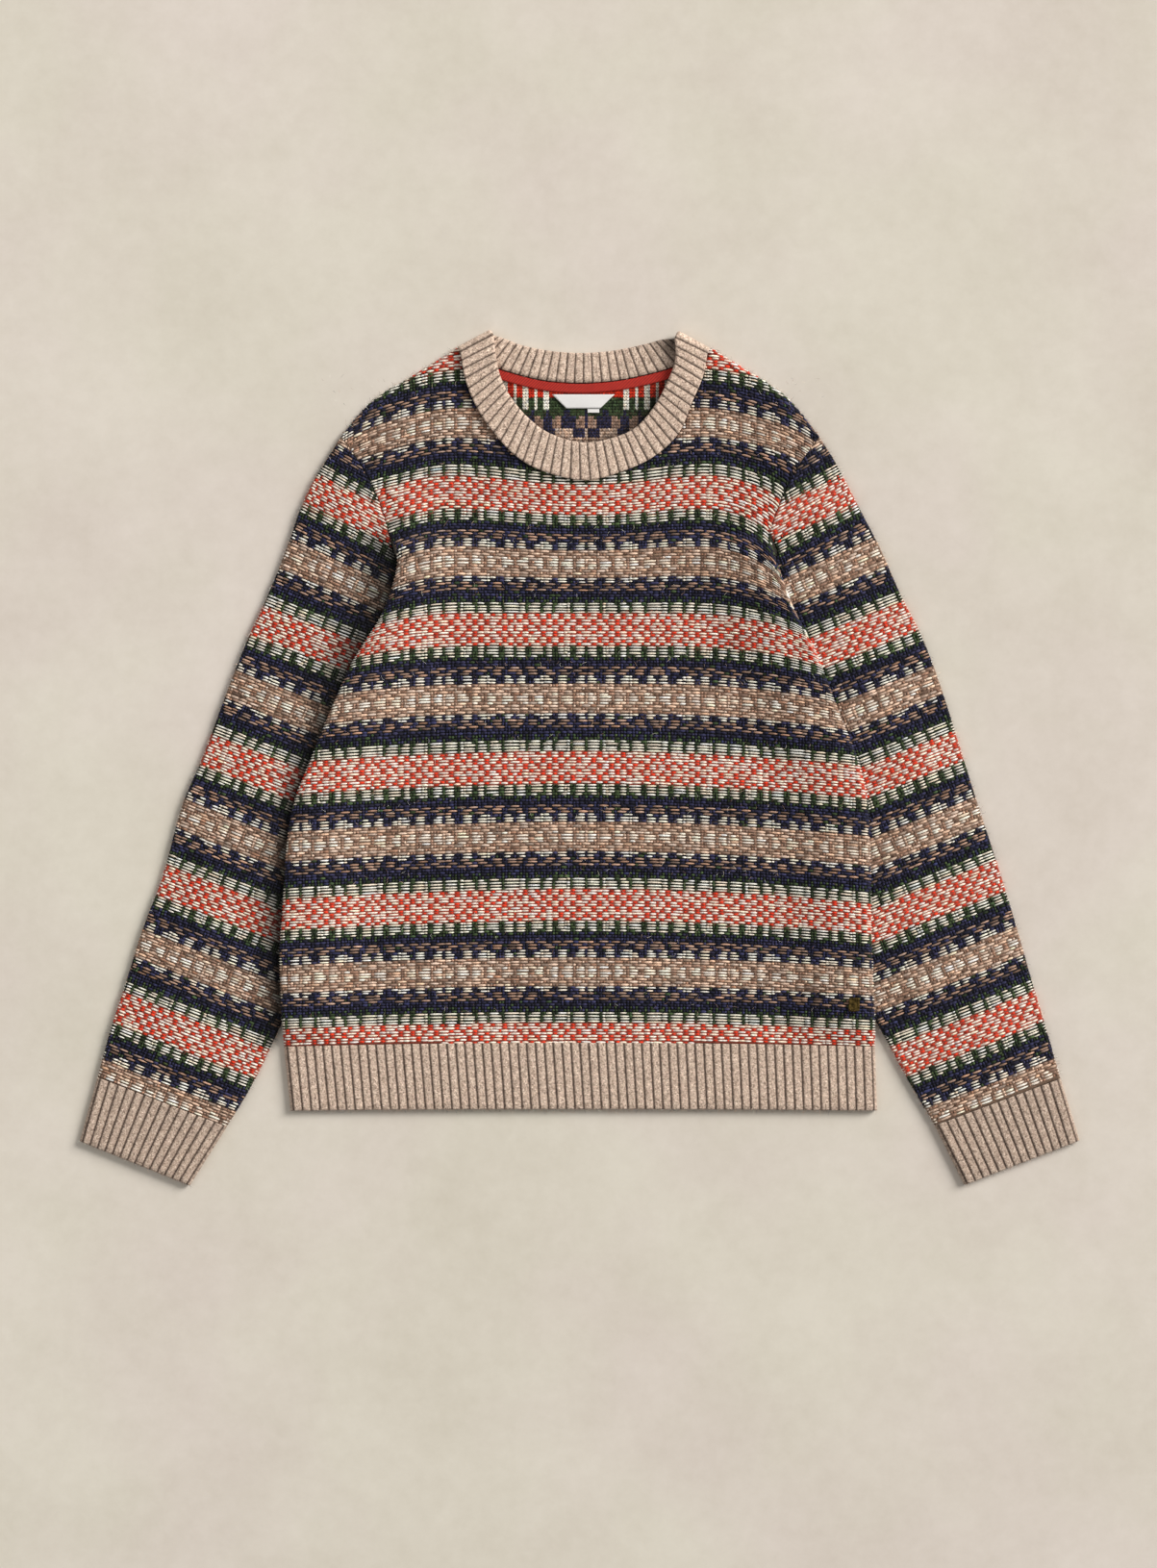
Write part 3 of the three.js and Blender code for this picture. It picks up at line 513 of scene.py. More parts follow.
def turnedDown(y):
    # 1 where the body's edge turns down, below the sleeves' seams and over the shoulders
    low = 1 - easeBetween(y, over["riseFull"] - over["turnLow"], over["riseStart"])
    high = np.clip((y - body["tipY"]) / over["turnHigh"], 0, 1)
    return np.maximum(low, high)


# Rows of the body: where each red band's top line lies, and how the rows sag towards the sides

bodyRowsAt = {"bandTops": [-208.7, -103.4, 4.9, 113.3, 218, 332], "low": -8, "high": 240}
sag = {
    "height": [-227, -103, 5, 113, 160, 218, 232, 262, 323],
    "dropLeft": [4, 8, 8, 8.5, 9, 10, 13, 26, 28],
    "powerLeft": [2, 1.6, 1.9, 5, 6, 7, 4.8, 4.5, 4],
    "dropRight": [4.5, 11.5, 11.5, 15, 18, 24, 25, 28, 28],
    "powerRight": [2, 2, 1.9, 4.5, 6, 9, 8, 5, 5],
    "crown": [0, 0, 0, 0.5, 2, 3.8, 3.8, 2.5, 1],
    "dip": [0, 0, 0, 0, 1.5, 3.5, 3.5, 0, 0],
}
sagForm = {
    "widest": 1.12, "crownFrom": 40, "crownPeak": 65, "crownEnd": 110, "dipX": 3, "dipFull": 10, "dipEnd": 70,
}


def rowHeight(rows):
    tops = bodyRowsAt["bandTops"]
    marks = np.arange(len(tops)) * knit["rows"]
    height = np.interp(rows, marks, tops)
    return np.where(rows < 0, tops[0] + rows * knit["row"], height)


def rowSag(x, height):
    table = {key: np.interp(height, sag["height"], values) for key, values in sag.items()}
    half = np.abs(bySide(x, np.minimum(height, body["tipY"]), edgeX))
    part = np.minimum(np.abs(x) / half, sagForm["widest"])
    left = table["dropLeft"] * part ** table["powerLeft"]
    right = table["dropRight"] * part ** table["powerRight"]
    crowned = np.maximum(np.abs(x) - sagForm["crownFrom"], 0)
    crown = table["crown"] * hump(crowned, sagForm["crownPeak"], sagForm["crownEnd"])
    dipped = 1 - easeBetween(np.abs(x - sagForm["dipX"]), sagForm["dipFull"], sagForm["dipEnd"])
    dip = table["dip"] * dipped
    return crown - dip - np.where(x < 0, left, right)


def rowAt(x, y):
    # The row that runs through a plan point
    height = y.copy()
    for _ in range(6):  # each round comes closer
        height = y - rowSag(x, height)
    tops = bodyRowsAt["bandTops"]
    rows = np.interp(height, tops, np.arange(len(tops)) * knit["rows"])
    return np.where(height < tops[0], (height - tops[0]) / knit["row"], rows)


def bodyPoint(x, rows, rise):
    # A point on the front: x runs on round the turned edge, rise is the distance off the face
    height = rowHeight(rows)
    y = height + rowSag(x, height)
    side = np.where(x < 0, -1, 1)
    edge = np.abs(bySide(x, y, edgeX))
    width = body["roll"] / np.maximum(bySide(x, y, leans), 0.5)
    flatEnd = edge - width
    top = frontFace(side * flatEnd, y)
    drop = top - liftAt(side * edge, y) - body["gap"]
    turned = turnedDown(y)
    arc = math.pi / 2 * np.sqrt((width**2 + drop**2) / 2)
    length = mix(width, arc, turned)
    past = np.abs(x) - flatEnd
    part = np.clip(past / length, 0, 1)
    angle = part * math.pi / 2
    flatX = flatEnd + part * width
    flatZ = frontFace(side * flatX, y) + rise
    rolledX = flatEnd + (width + rise) * np.sin(angle)
    rolledZ = top - drop * (1 - np.cos(angle)) + rise * np.cos(angle)
    edgeXs = mix(flatX, rolledX, turned)
    edgeZs = mix(flatZ, rolledZ, turned)
    inside = past <= 0
    newX = np.where(inside, x, side * edgeXs)
    newZ = np.where(inside, frontFace(x, y) + rise, edgeZs)
    return np.stack([newX, y, newZ], axis=-1), length - past


# Neckline

bandFront = np.array([
    (-93.6, 318.6, -67.6, 332.2, 5.6), (-90.4, 299.6, -65.2, 313, 5.6), (-83.6, 281, -62, 299.5, 4.9),
    (-73.8, 264, -55, 285, 3.6), (-54.2, 240.9, -41.7, 268.6, 3), (-31.6, 226.5, -24, 255.4, 2.9),
    (3, 218.3, 1.5, 248.1, 2.9), (32.6, 225, 25, 251.4, 2.9), (57.4, 236.5, 43.5, 259.7, 3.2),
    (77, 254.7, 57.6, 275.4, 4), (88.2, 280, 67.5, 293.5, 5.4), (96.5, 299.6, 74.6, 312.5, 7.2),
    (99.8, 317.6, 74, 329.6, 8.4),
])
bandBack = np.array([
    (99.8, 317.6, 74, 329.6), (84, 312, 64, 329), (64, 304.8, 51, 325.5), (33, 297.8, 28, 320.7),
    (3, 295.1, 3, 318.6), (-27, 297, -22, 320), (-56, 304, -45, 324.4), (-78, 312, -60, 330),
    (-93.6, 318.6, -67.6, 332.2),
])
neckSeam = throughPoints(bandFront[:, :2])
neckFoot = np.argmin(neckSeam[:, 1])
neckLeftLine = neckSeam[: neckFoot + 1][::-1]
neckRightLine = neckSeam[neckFoot:]


def outsideNeck(x, y, gap):
    left = np.interp(y, neckLeftLine[:, 1], neckLeftLine[:, 0])
    right = np.interp(y, neckRightLine[:, 1], neckRightLine[:, 0])
    return (y < neckSeam[neckFoot, 1] - gap) | (x < left - gap) | (x > right + gap)


# Runs of yarn

fine = 4  # steps to a stitch where a row is cut off by an edge
runLengths = {"c": 5, "w": 5, "p": 4, "r": 2, "t": 3, "b": 3}  # longest run of each yarn, else 1 or 2
runRule = {"short": "ngm", "double": 0.45, "least": 0.4}


def fineGrid(rows, columns, middle):
    # Distance across and row of every fine step of every row
    steps = (np.arange(len(columns) * fine) + 0.5) / fine + columns[0]
    across = np.broadcast_to(middle + steps * knit["stitch"], (len(rows), len(steps)))
    return across, np.broadcast_to(rows[:, None] + 0.5, across.shape)


def findRuns(rows, columns, valid, seed):
    # Cuts each row into runs of one yarn; valid has a value for every fine step of every row
    chance = np.random.default_rng(seed)
    runs = []
    for j, row in enumerate(rows):
        if not valid[j].any():
            continue
        start = 0
        while start < len(columns):
            yarn = yarnAt(row, columns[start])
            reach = runLengths.get(yarn.lower(), 2)
            if yarn in runRule["short"]:
                reach = 1 + (chance.random() < runRule["double"])
            end = start + 1
            while end < len(columns) and end - start < reach and yarnAt(row, columns[end]) == yarn:
                end += 1
            other, share = strays.get(yarn, (yarn, 0))
            if chance.random() < share:
                yarn = other
            good = np.flatnonzero(valid[j, start * fine: end * fine])
            if len(good) > fine * runRule["least"]:
                first = columns[start] + good[0] / fine
                last = columns[start] + (good[-1] + 1) / fine
                runs.append((first, last, row + 0.5, yarn.lower()))
            start = end
    return runs


stitchForm = {
    "along": [0, 0.3, 0.7, 1],
    "half": [0.2, 0.36, 0.36, 0.2],  # half thickness, in parts of a row
    "crest": [-0.9, 0.45, 0.45, -0.9],
    "side": [-1.3, -0.8, -0.8, -1.3],
    "gap": 0.02, "draw": 1, "tilt": 0.035, "slip": 0.08,
}
strand = {
    "wander": 0.05, "thin": 0.88, "full": 1.12, "warmth": 0.05, "depths": (0.4, 2.2), "tints": (0.004, 0.98),
}


def splitRuns(runs):
    starts = [(first, row) for first, _, row, _ in runs]
    ends = [(last, row) for _, last, row, _ in runs]
    return starts, ends, [letter for _, _, _, letter in runs]


def layRuns(starts, ends, letters, surface, form, seed):
    # One bowed strand from each start to its end, both given as column and row
    chance = np.random.default_rng(seed)
    count = len(starts)
    starts = np.asarray(starts, float)
    ends = np.asarray(ends, float)
    along = ends - starts
    length = np.linalg.norm(along, axis=1)[:, None]
    along = along / length
    across = np.stack([-along[:, 1], along[:, 0]], axis=1)
    inward = np.array([drawnIn[letter] for letter in letters])[:, None] * form["draw"] + form["gap"]
    starts = starts + along * inward
    ends = ends - along * inward
    wander = chance.normal(0, strand["wander"], (count, 1))
    starts[:, 1] += chance.normal(0, form["tilt"], count)
    ends[:, 1] += chance.normal(0, form["tilt"], count)
    starts[:, 0] += chance.normal(0, form["slip"], count)
    ends[:, 0] += chance.normal(0, form["slip"], count)
    plump = np.array([thickness[letter] for letter in letters])[:, None]
    puff = chance.uniform(strand["thin"], strand["full"], (count, 1)) * mix(1, plump, form["draw"])
    points = []
    for part, half, crest, low in zip(form["along"], form["half"], form["crest"], form["side"]):
        middle = starts + (ends - starts) * part
        middle[:, 1:] += wander
        for side, rise in ((-1, low), (0, crest), (1, low)):
            spot = middle + across * side * half * puff
            points.append(surface(spot[:, 0], spot[:, 1], np.full(count, rise)))
    points = np.stack(points, axis=1)
    each = len(form["along"]) * 3
    corners = [k * 3 + s for k in range(len(form["along"]) - 1) for s in range(2)]
    faces = np.array([(a, a + 3, a + 4, a + 1) for a in corners])
    faces = faces[None] + (np.arange(count) * each)[:, None, None]
    tints = np.repeat(shadeYarns(letters, seed + 1)[:, None], each, axis=1)
    return points.reshape(-1, 3), faces.reshape(-1, 4), tints.reshape(-1, 3)


def shadeYarns(letters, seed):
    # Each run of yarn differs a little in depth and warmth
    chance = np.random.default_rng(seed)
    base = np.array([yarnColours[letter] for letter in letters])
    spread = np.array([spreads[letter] for letter in letters])
    depth = 1 + chance.normal(0, 1, len(letters)) * spread
    warmth = chance.normal(0, strand["warmth"], len(letters))
    depth = np.clip(depth, *strand["depths"])
    change = np.stack([depth * (1 + warmth), depth, depth * (1 - warmth)], axis=1)
    return np.clip(base * change, *strand["tints"])


# Front: every run of yarn on it

lay = {"columns": 107, "room": 0.1, "hemGap": 0.1, "top": 322.5, "neckGap": 0.4}


def frontRuns():
    rows = np.arange(bodyRowsAt["low"], bodyRowsAt["high"])
    columns = np.arange(-lay["columns"], lay["columns"])
    points, room = bodyPoint(*fineGrid(rows, columns, knit["middle"]), 0.0)
    x, y = points[..., 0], points[..., 1]
    hemPart = (x - body["left"][0]) / (body["right"][0] - body["left"][0])
    hemLine = body["sideY"][0] + bowed(body["hemBow"], hemPart)
    valid = (room > lay["room"]) & (y > hemLine + lay["hemGap"]) & (y < lay["top"])
    valid &= outsideNeck(x, y, lay["neckGap"])
    return findRuns(rows, columns, valid, seeds["front"])


def onBody(columns, rows, rise):
    return bodyPoint(knit["middle"] + columns * knit["stitch"], rows, rise)[0]


def layFront():
    runs = frontRuns()
    points, faces, tints = layRuns(*splitRuns(runs), onBody, stitchForm, seeds["frontStrands"])
    pieces = []
    pointsEach = len(stitchForm["along"]) * 3
    facesEach = (len(stitchForm["along"]) - 1) * 2
    half = len(runs) // 2
    for name, first, last in (("Low", 0, half), ("High", half, len(runs))):
        own = slice(first * pointsEach, last * pointsEach)
        ownFaces = faces[first * facesEach: last * facesEach] - own.start
        pieces.append(makePiece("frontStitches" + name, points[own], ownFaces, tints[own], strandedWool))
    print("front stitches laid:", len(runs))
    return pieces


# Shells of the body: the cloth under the stitches, coloured with the painted shade between them

def underBand(table, count):
    # The neck's edge, a little way out under the neckband
    away = table[:, :2] - table[:, 2:4]
    away /= np.linalg.norm(away, axis=1)[:, None]
    return spaced(throughPoints(table[:, :2] + away * body["underBand"]), count)


def bodyPlan(rowCount, shoulderCount, neckCount):
    # Plan points from the hem to the shoulders and the front neckline, and the outline beside them
    outlines = {}
    for side, inward in (("left", 1), ("right", -1)):
        line = edges[side]
        tip = np.argmax(line[:, 1] >= body["tipY"])
        low = spaced(line[: tip + 1], rowCount)
        high = spaced(line[tip:], shoulderCount + 1)[1:]
        outlines[side] = np.vstack([low, high])
    left = movedIn(outlines["left"], -body["roll"])
    right = movedIn(outlines["right"], body["roll"])
    left[0, 1] = right[0, 1] = body["sideY"][0]
    neck = underBand(bandFront, neckCount * 4 + 1)
    turn = 4
    left[-1] = neck[turn]
    right[-1] = neck[-1 - turn]
    neck = spaced(neck[turn: len(neck) - turn], neckCount + 1)
    part = np.linspace(0, 1, 2 * shoulderCount + neckCount + 1)
    foot = np.stack([mix(left[0, 0], right[0, 0], part),
                     body["sideY"][0] + bowed(body["hemBow"], part)], axis=1)
    top = np.vstack([left[rowCount - 1:], neck[1:-1], right[rowCount - 1:][::-1]])
    u = part[None, :, None]
    v = np.linspace(0, 1, rowCount)[:, None, None]
    grid = mix(left[:rowCount, None], right[:rowCount, None], u) + mix(foot[None], top[None], v)
    grid -= mix(mix(foot[0], foot[-1], u), mix(top[0], top[-1], u), v)
    columns = len(part)
    at = np.arange(rowCount * columns).reshape(rowCount, columns)
    borders = {
        "left": np.concatenate([at[:, 0], at[-1, 1: shoulderCount + 1]]),
        "right": np.concatenate([at[:, -1], at[-1, -2: -2 - shoulderCount: -1]]),
    }
    neckRow = at[-1, shoulderCount: shoulderCount + neckCount + 1]
    return grid.reshape(-1, 2), gridQuads(at), outlines, borders, neckRow


def closeWall(face, inner, quads):
    # Joins two like surfaces into one closed wall
    quads = np.asarray(quads)
    shift = len(face)
    edgesOut = np.stack([quads, np.roll(quads, -1, axis=1)], axis=-1).reshape(-1, 2)
    keys = edgesOut[:, 0] * shift + edgesOut[:, 1]
    backKeys = edgesOut[:, 1] * shift + edgesOut[:, 0]
    rim = edgesOut[~np.isin(keys, backKeys)]
    sides = np.stack([rim[:, 1], rim[:, 0], rim[:, 0] + shift, rim[:, 1] + shift], axis=1)
    return np.vstack([face, inner]), np.vstack([quads, quads[:, ::-1] + shift, sides])


def joinLines(before, line, side):
    quads = np.stack([before[:-1], line[:-1], line[1:], before[1:]], axis=1)
    return quads if side == "left" else quads[:, ::-1]


def frontShell():
    look = {
        "rows": 170, "shoulder": 12, "neck": 60, "under": 1.1, "thick": 1.2, "steps": 5,
        "reach": 0.93, "innerReach": 0.7,
    }
    plan, quads, outlines, borders, _ = bodyPlan(look["rows"], look["shoulder"], look["neck"])
    z = frontFace(plan[:, 0], plan[:, 1])
    face = [np.column_stack([plan, z - look["under"]])]
    inner = [np.column_stack([plan, z - look["under"] - look["thick"]])]
    allQuads = [quads]
    total = len(plan)
    for side in ("left", "right"):
        edge = outlines[side]
        start = face[0][borders[side]]
        turned = turnedDown(edge[:, 1])[:, None]
        drop = start[:, 2] - liftAt(edge[:, 0], edge[:, 1]) - body["gap"]
        before = borders[side]
        for step in range(1, look["steps"] + 1):
            part = step / look["steps"]
            angle = part * math.pi / 2
            flat = mix(start[:, :2], edge, part)
            out = mix(start[:, :2], edge, math.sin(angle) * look["reach"])
            within = mix(start[:, :2], edge, math.sin(angle) * look["innerReach"])
            flatZ = frontFace(flat[:, 0], flat[:, 1]) - look["under"]
            outZ = start[:, 2] - drop * (1 - math.cos(angle))
            withinZ = start[:, 2] - look["thick"] - (drop - look["thick"]) * (1 - math.cos(angle))
            flatInner = np.column_stack([flat, flatZ - look["thick"]])
            face.append(mix(np.column_stack([flat, flatZ]), np.column_stack([out, outZ]), turned))
            inner.append(mix(flatInner, np.column_stack([within, withinZ]), turned))
            line = np.arange(total, total + len(edge))
            total += len(edge)
            allQuads.append(joinLines(before, line, side))
            before = line
    face = np.vstack(face)
    points, faces = closeWall(face, np.vstack(inner), np.vstack(allQuads))
    # Painted shade between the strands, after the row at each point
    tints = strandShadeTint(rowAt(points[:, 0], points[:, 1]))
    return makePiece("frontShell", points, faces, tints, strandedWool, ["front_body"])


underside = {"gain": 2.2, "added": 0.01}


def undersideTint(tints):
    # Less dark than the painted shade between the strands, since the underside has no strands to shade it
    return tints * underside["gain"] + underside["added"]


def backShell():
    look = {
        "rows": 120, "shoulder": 8, "neck": 60, "inset": 5.6, "turn": 1.5, "up": 18, "foot": 0.05,
        "under": 0.7,
    }
    plan, quads, outlines, borders, neckRow = bodyPlan(look["rows"], look["shoulder"], look["neck"])
    points = [plan]
    allQuads = [quads]
    total = len(plan)
    for side in ("left", "right"):
        edge = outlines[side]
        turned = np.minimum(1, look["turn"] * turnedDown(edge[:, 1]))[:, None]
        reach = 1 - look["inset"] * turned / body["roll"]
        points.append(mix(plan[borders[side]], edge, reach))
        line = np.arange(total, total + len(edge))
        total += len(edge)
        allQuads.append(joinLines(borders[side], line, side))
    backNeck = underBand(bandBack[::-1], len(neckRow))
    before = neckRow
    for step in range(1, look["up"] + 1):
        points.append(mix(plan[neckRow], backNeck, step / look["up"]))
        line = np.arange(total, total + len(neckRow))
        total += len(neckRow)
        allQuads.append(joinLines(line, before, "left"))
        before = line
    plan = np.vstack(points)
    lift = liftAt(plan[:, 0], plan[:, 1])
    face = np.column_stack([plan, lift + body["wall"] - look["under"]])
    inner = np.column_stack([plan, lift + look["foot"]])
    allPoints, faces = closeWall(face, inner, np.vstack(allQuads))
    rows = rowAt(allPoints[:, 0], allPoints[:, 1])
    # Painted shade between the strands on the top face, made less dark on the underside
    tints = strandShadeTint(rows)
    tints[len(face):] = undersideTint(tints[len(face):])
    return makePiece("backShell", allPoints, faces, tints, strandedWool, ["back_body"])


front = frontShell()
back = backShell()
frontStitches = layFront()
print("body shells made")


# Sleeves: rings of the CAD from the armhole down to the cuff, each its outer point and its inner
# point in plan. The right one is laid out mirrored.

sleeveTable = {
    "left": [
        (-188, 252, -150.6, 176), (-199, 235, -147.8, 168), (-210, 217, -145.6, 160),
        (-220.5, 194, -139, 144), (-231, 164, -137, 122), (-245.5, 128, -147, 90),
        (-261.5, 93, -164, 54), (-278, 51, -182, 15),
        (-297, 0, -199, -38), (-313, -38, -206.5, -78), (-328, -92, -211, -136), (-344, -135, -222, -180),
        (-357, -176, -236, -212), (-369, -213, -256, -254), (-379.5, -251, -277.5, -290),
    ],
    "right": [
        (188.5, 252, 149.8, 176), (200, 234, 153, 168), (209, 217, 155, 160), (221, 194, 150.5, 144),
        (236, 165, 149, 122), (252.5, 128, 160, 90), (270, 93, 176, 54), (285.5, 51, 191, 14),
        (301.5, 0, 203.5, -38), (313.5, -38, 206, -80), (331, -92, 207, -138), (344, -135, 216, -180),
        (356, -177, 236, -213), (368, -217, 256, -250), (378, -252, 279, -289),
    ],
}
sleeve = {
    "flat": 5.4, "dome": 2.8, "domePower": 0.85, "round": 2.7, "turnEnd": 2.4, "turnRoom": 2.1,
    "domeFrom": -150, "domeTo": -95, "lowFrom": 330, "lowTo": 372, "lowShare": 0.7,
    "stillFrom": 340, "stillTo": 370, "uneven": (1.3, 1.2), "slope": math.radians(21.5),
    "cuffSeam": 371.6, "seamIn": 0.4,
    "columns": 34, "middle": -215, "room": 0.2, "hiddenIn": 9, "hiddenTop": 168, "hiddenLow": -215,
    # Painted shade on the left sleeve beside the body: its depth, sharpness, ends, and reach at each height
    "dim": 0.84, "dimPower": 2.4, "dimTop": (160, 190), "dimLow": (-235, -225),
    "dimY": [-187, -130, -78, -20, 32, 80, 142], "dimReach": [17, 20, 17, 14, 18, 26, 30],
    "capTilt": 0.14, "capFrom": -129, "capTo": -20, "lowRow": -31, "highRow": 206,
    "leftTops": [303, 197.5, 89, -20.6, -129, -238], "rightTops": [301.5, 195, 88, -21, -129, -238],
    "creases": [
        (-262, 60, -200, 30, 0.9, 9), (-276, 20, -215, -6, -0.7, 10),
        (-300, -50, -236, -60, 0.8, 10), (-230, 150, -170, 120, 0.8, 9),
        (-335, -140, -262, -150, 0.7, 11), (-300, -100, -250, -130, -0.5, 12),
        (-352, -215, -290, -232, 0.5, 10),
    ],
}
alongStripe = np.array([math.cos(sleeve["slope"]), -math.sin(sleeve["slope"])])
downSleeve = np.array([-math.sin(sleeve["slope"]), -math.cos(sleeve["slope"])])


def sleeveFrame(side):
    # A sleeve's outline, as plan lines and as places across at each distance down the sleeve
    mirror = 1 if side == "left" else -1
    table = np.array(sleeveTable[side], float)
    outer = throughPoints(table[:, :2]) * [mirror, 1]
    inner = throughPoints(table[:, 2:]) * [mirror, 1]
    seam = edges[side]
    seam = seam[(seam[:, 1] >= body["pitY"]) & (seam[:, 1] <= body["tipY"])][::-1] * [mirror, 1]
    seam = seam - [sleeve["seamIn"], 0]
    edgeIn = np.vstack([seam, inner])
    return {
        "mirror": mirror,
        "outer": np.column_stack([outer @ downSleeve, outer @ alongStripe]),
        "inner": np.column_stack([edgeIn @ downSleeve, edgeIn @ alongStripe]),
        "seamEnd": seam[-1] @ downSleeve,
        "outerLine": outer, "innerLine": inner,
        "tops": sleeve[side + "Tops"],
    }


sleeveFrames = {side: sleeveFrame(side) for side in ("left", "right")}


def sleeveBounds(shape, down):
    return (np.interp(down, shape["outer"][:, 0], shape["outer"][:, 1]),
            np.interp(down, shape["inner"][:, 0], shape["inner"][:, 1]))


def sleeveDown(shape, rows):
    marks = np.arange(len(shape["tops"])) * knit["rows"]
    down = np.interp(rows, marks, shape["tops"])
    return np.where(rows < 0, shape["tops"][0] - rows * knit["row"], down)


def sleeveRow(shape, down):
    rows = np.interp(-down, -np.array(shape["tops"]), np.arange(len(shape["tops"])) * knit["rows"])
    return np.where(down > shape["tops"][0], (shape["tops"][0] - down) / knit["row"], rows)


def sleeveFace(shape, across, down):
    low, high = sleeveBounds(shape, down)
    part = np.clip((across - low) / (high - low), 0, 1)
    fade = easeBetween(down, sleeve["domeFrom"], sleeve["domeTo"])
    fade = fade * (1 - sleeve["lowShare"] * easeBetween(down, sleeve["lowFrom"], sleeve["lowTo"]))
    plan = across[..., None] * alongStripe + down[..., None] * downSleeve
    x, y = plan[..., 0], plan[..., 1]
    soft = creaseAt(x, y, sleeve["creases"]) + unevenAt(x * sleeve["uneven"][0], y * sleeve["uneven"][1])
    soft = soft * np.sin(math.pi * part) * (1 - easeBetween(down, sleeve["stillFrom"], sleeve["stillTo"]))
    dome = np.sin(math.pi * part ** sleeve["domePower"]) ** 2
    return sleeve["flat"] + sleeve["dome"] * fade * dome + soft


def sleevePoint(shape, across, rows, rise):
    # A point on a sleeve, turned round its edges, the room left to the end of the turn, and how far down
    down = sleeveDown(shape, rows)
    low, high = sleeveBounds(shape, down)
    tilt = sleeve["capTilt"] * (1 - easeBetween(down, sleeve["capFrom"], sleeve["capTo"]))
    down = down + tilt * (across - (low + high) / 2)
    low, high = sleeveBounds(shape, down)
    radius = sleeve["round"]
    seamed = down < shape["seamEnd"]
    pastLow = (low + radius) - across
    pastHigh = np.where(seamed, -1, across - (high - radius))
    angle = np.clip(np.maximum(pastLow, pastHigh) / radius, 0, sleeve["turnEnd"])
    rolled = (radius + rise) * np.sin(angle)
    newAcross = np.where(pastHigh > 0, high - radius + rolled, across)
    newAcross = np.where(pastLow > 0, low + radius - rolled, newAcross)
    z = np.where((pastLow > 0) | (pastHigh > 0), radius + (radius + rise) * np.cos(angle),
                 sleeveFace(shape, across, down) + rise)
    plan = newAcross[..., None] * alongStripe + down[..., None] * downSleeve
    turn = sleeve["turnRoom"] * radius
    room = np.minimum(across - (low + radius - turn),
                      np.where(seamed, high - across, (high - radius + turn) - across))
    return np.stack([plan[..., 0] * shape["mirror"], plan[..., 1], z], axis=-1), room, down


def paintedShadeBesideBody(x, y):
    # Painted shade: little light reaches the left sleeve close to the edge of the body, so its colour is
    # darkened there
    reach = np.interp(y, sleeve["dimY"], sleeve["dimReach"])
    away = np.maximum(np.interp(y, levels, edgeX["left"]) - x, 0)
    ends = (1 - easeBetween(y, *sleeve["dimTop"])) * easeBetween(y, *sleeve["dimLow"])
    return 1 - sleeve["dim"] * np.exp(-((away / reach) ** sleeve["dimPower"])) * ends * (x < 0)


def laySleeve(side):
    shape = sleeveFrames[side]
    rows = np.arange(sleeve["lowRow"], sleeve["highRow"])
    columns = np.arange(-sleeve["columns"], sleeve["columns"])
    points, room, down = sleevePoint(shape, *fineGrid(rows, columns, sleeve["middle"]), 0.0)
    x, y = points[..., 0], points[..., 1]
    fold = np.abs(bySide(x, y, edgeX))
    hidden = (np.abs(x) < fold - sleeve["hiddenIn"]) & (y < sleeve["hiddenTop"]) & (y > sleeve["hiddenLow"])
    valid = (room > sleeve["room"]) & (down < sleeve["cuffSeam"] - sleeve["seamIn"]) & ~hidden
    runs = findRuns(rows, columns, valid, seeds["sleeve"])

    def onSleeve(cols, rowsAt, rise):
        return sleevePoint(shape, sleeve["middle"] + cols * knit["stitch"], rowsAt, rise)[0]

    points, faces, tints = layRuns(*splitRuns(runs), onSleeve, stitchForm, seeds["sleeveStrands"])
    # Painted shade beside the body
    tints *= paintedShadeBesideBody(points[:, 0], points[:, 1])[:, None]
    if shape["mirror"] < 0:
        faces = faces[:, ::-1]
    piece = makePiece("sleeveStitches" + side.title(), points, faces, tints, strandedWool)
    print("sleeve stitches laid:", side, len(runs))
    return piece


def zipLoops(outerKeys, innerKeys):
    # Triangles between two closed loops, by their keys from 0 to 2
    done = 9  # past every key
    triangles = []
    i = j = 0
    countOuter, countInner = len(outerKeys), len(innerKeys)
    while i < countOuter or j < countInner:
        nextOuter = [*outerKeys[1:], 2 + outerKeys[0], done][i]
        nextInner = [*innerKeys[1:], 2 + innerKeys[0], done][j]
        a, b = i % countOuter, countOuter + j % countInner
        if nextOuter <= nextInner:
            triangles.append(((i + 1) % countOuter, a, b))
            i += 1
        else:
            triangles.append((countOuter + (j + 1) % countInner, a, b))
            j += 1
    return np.array(triangles)


def tubeFaces(ringCount, outerKeys, innerKeys):
    # A flattened tube, open at both ends: each ring has its outer loop, then the loop round the slit
    countOuter, countInner = len(outerKeys), len(innerKeys)
    size = countOuter + countInner
    triangles = []
    for k in range(ringCount - 1):
        triangles += ringTriangles(k * size, countOuter, size)
        triangles += ringTriangles(k * size + countOuter, countInner, size, True)
    cap = zipLoops(outerKeys, innerKeys)
    triangles += [cap, cap[:, ::-1] + (ringCount - 1) * size]
    return np.vstack(triangles)


arcs = {"steps": 5, "half": 60}  # points and half angle of the round at each edge of a tube


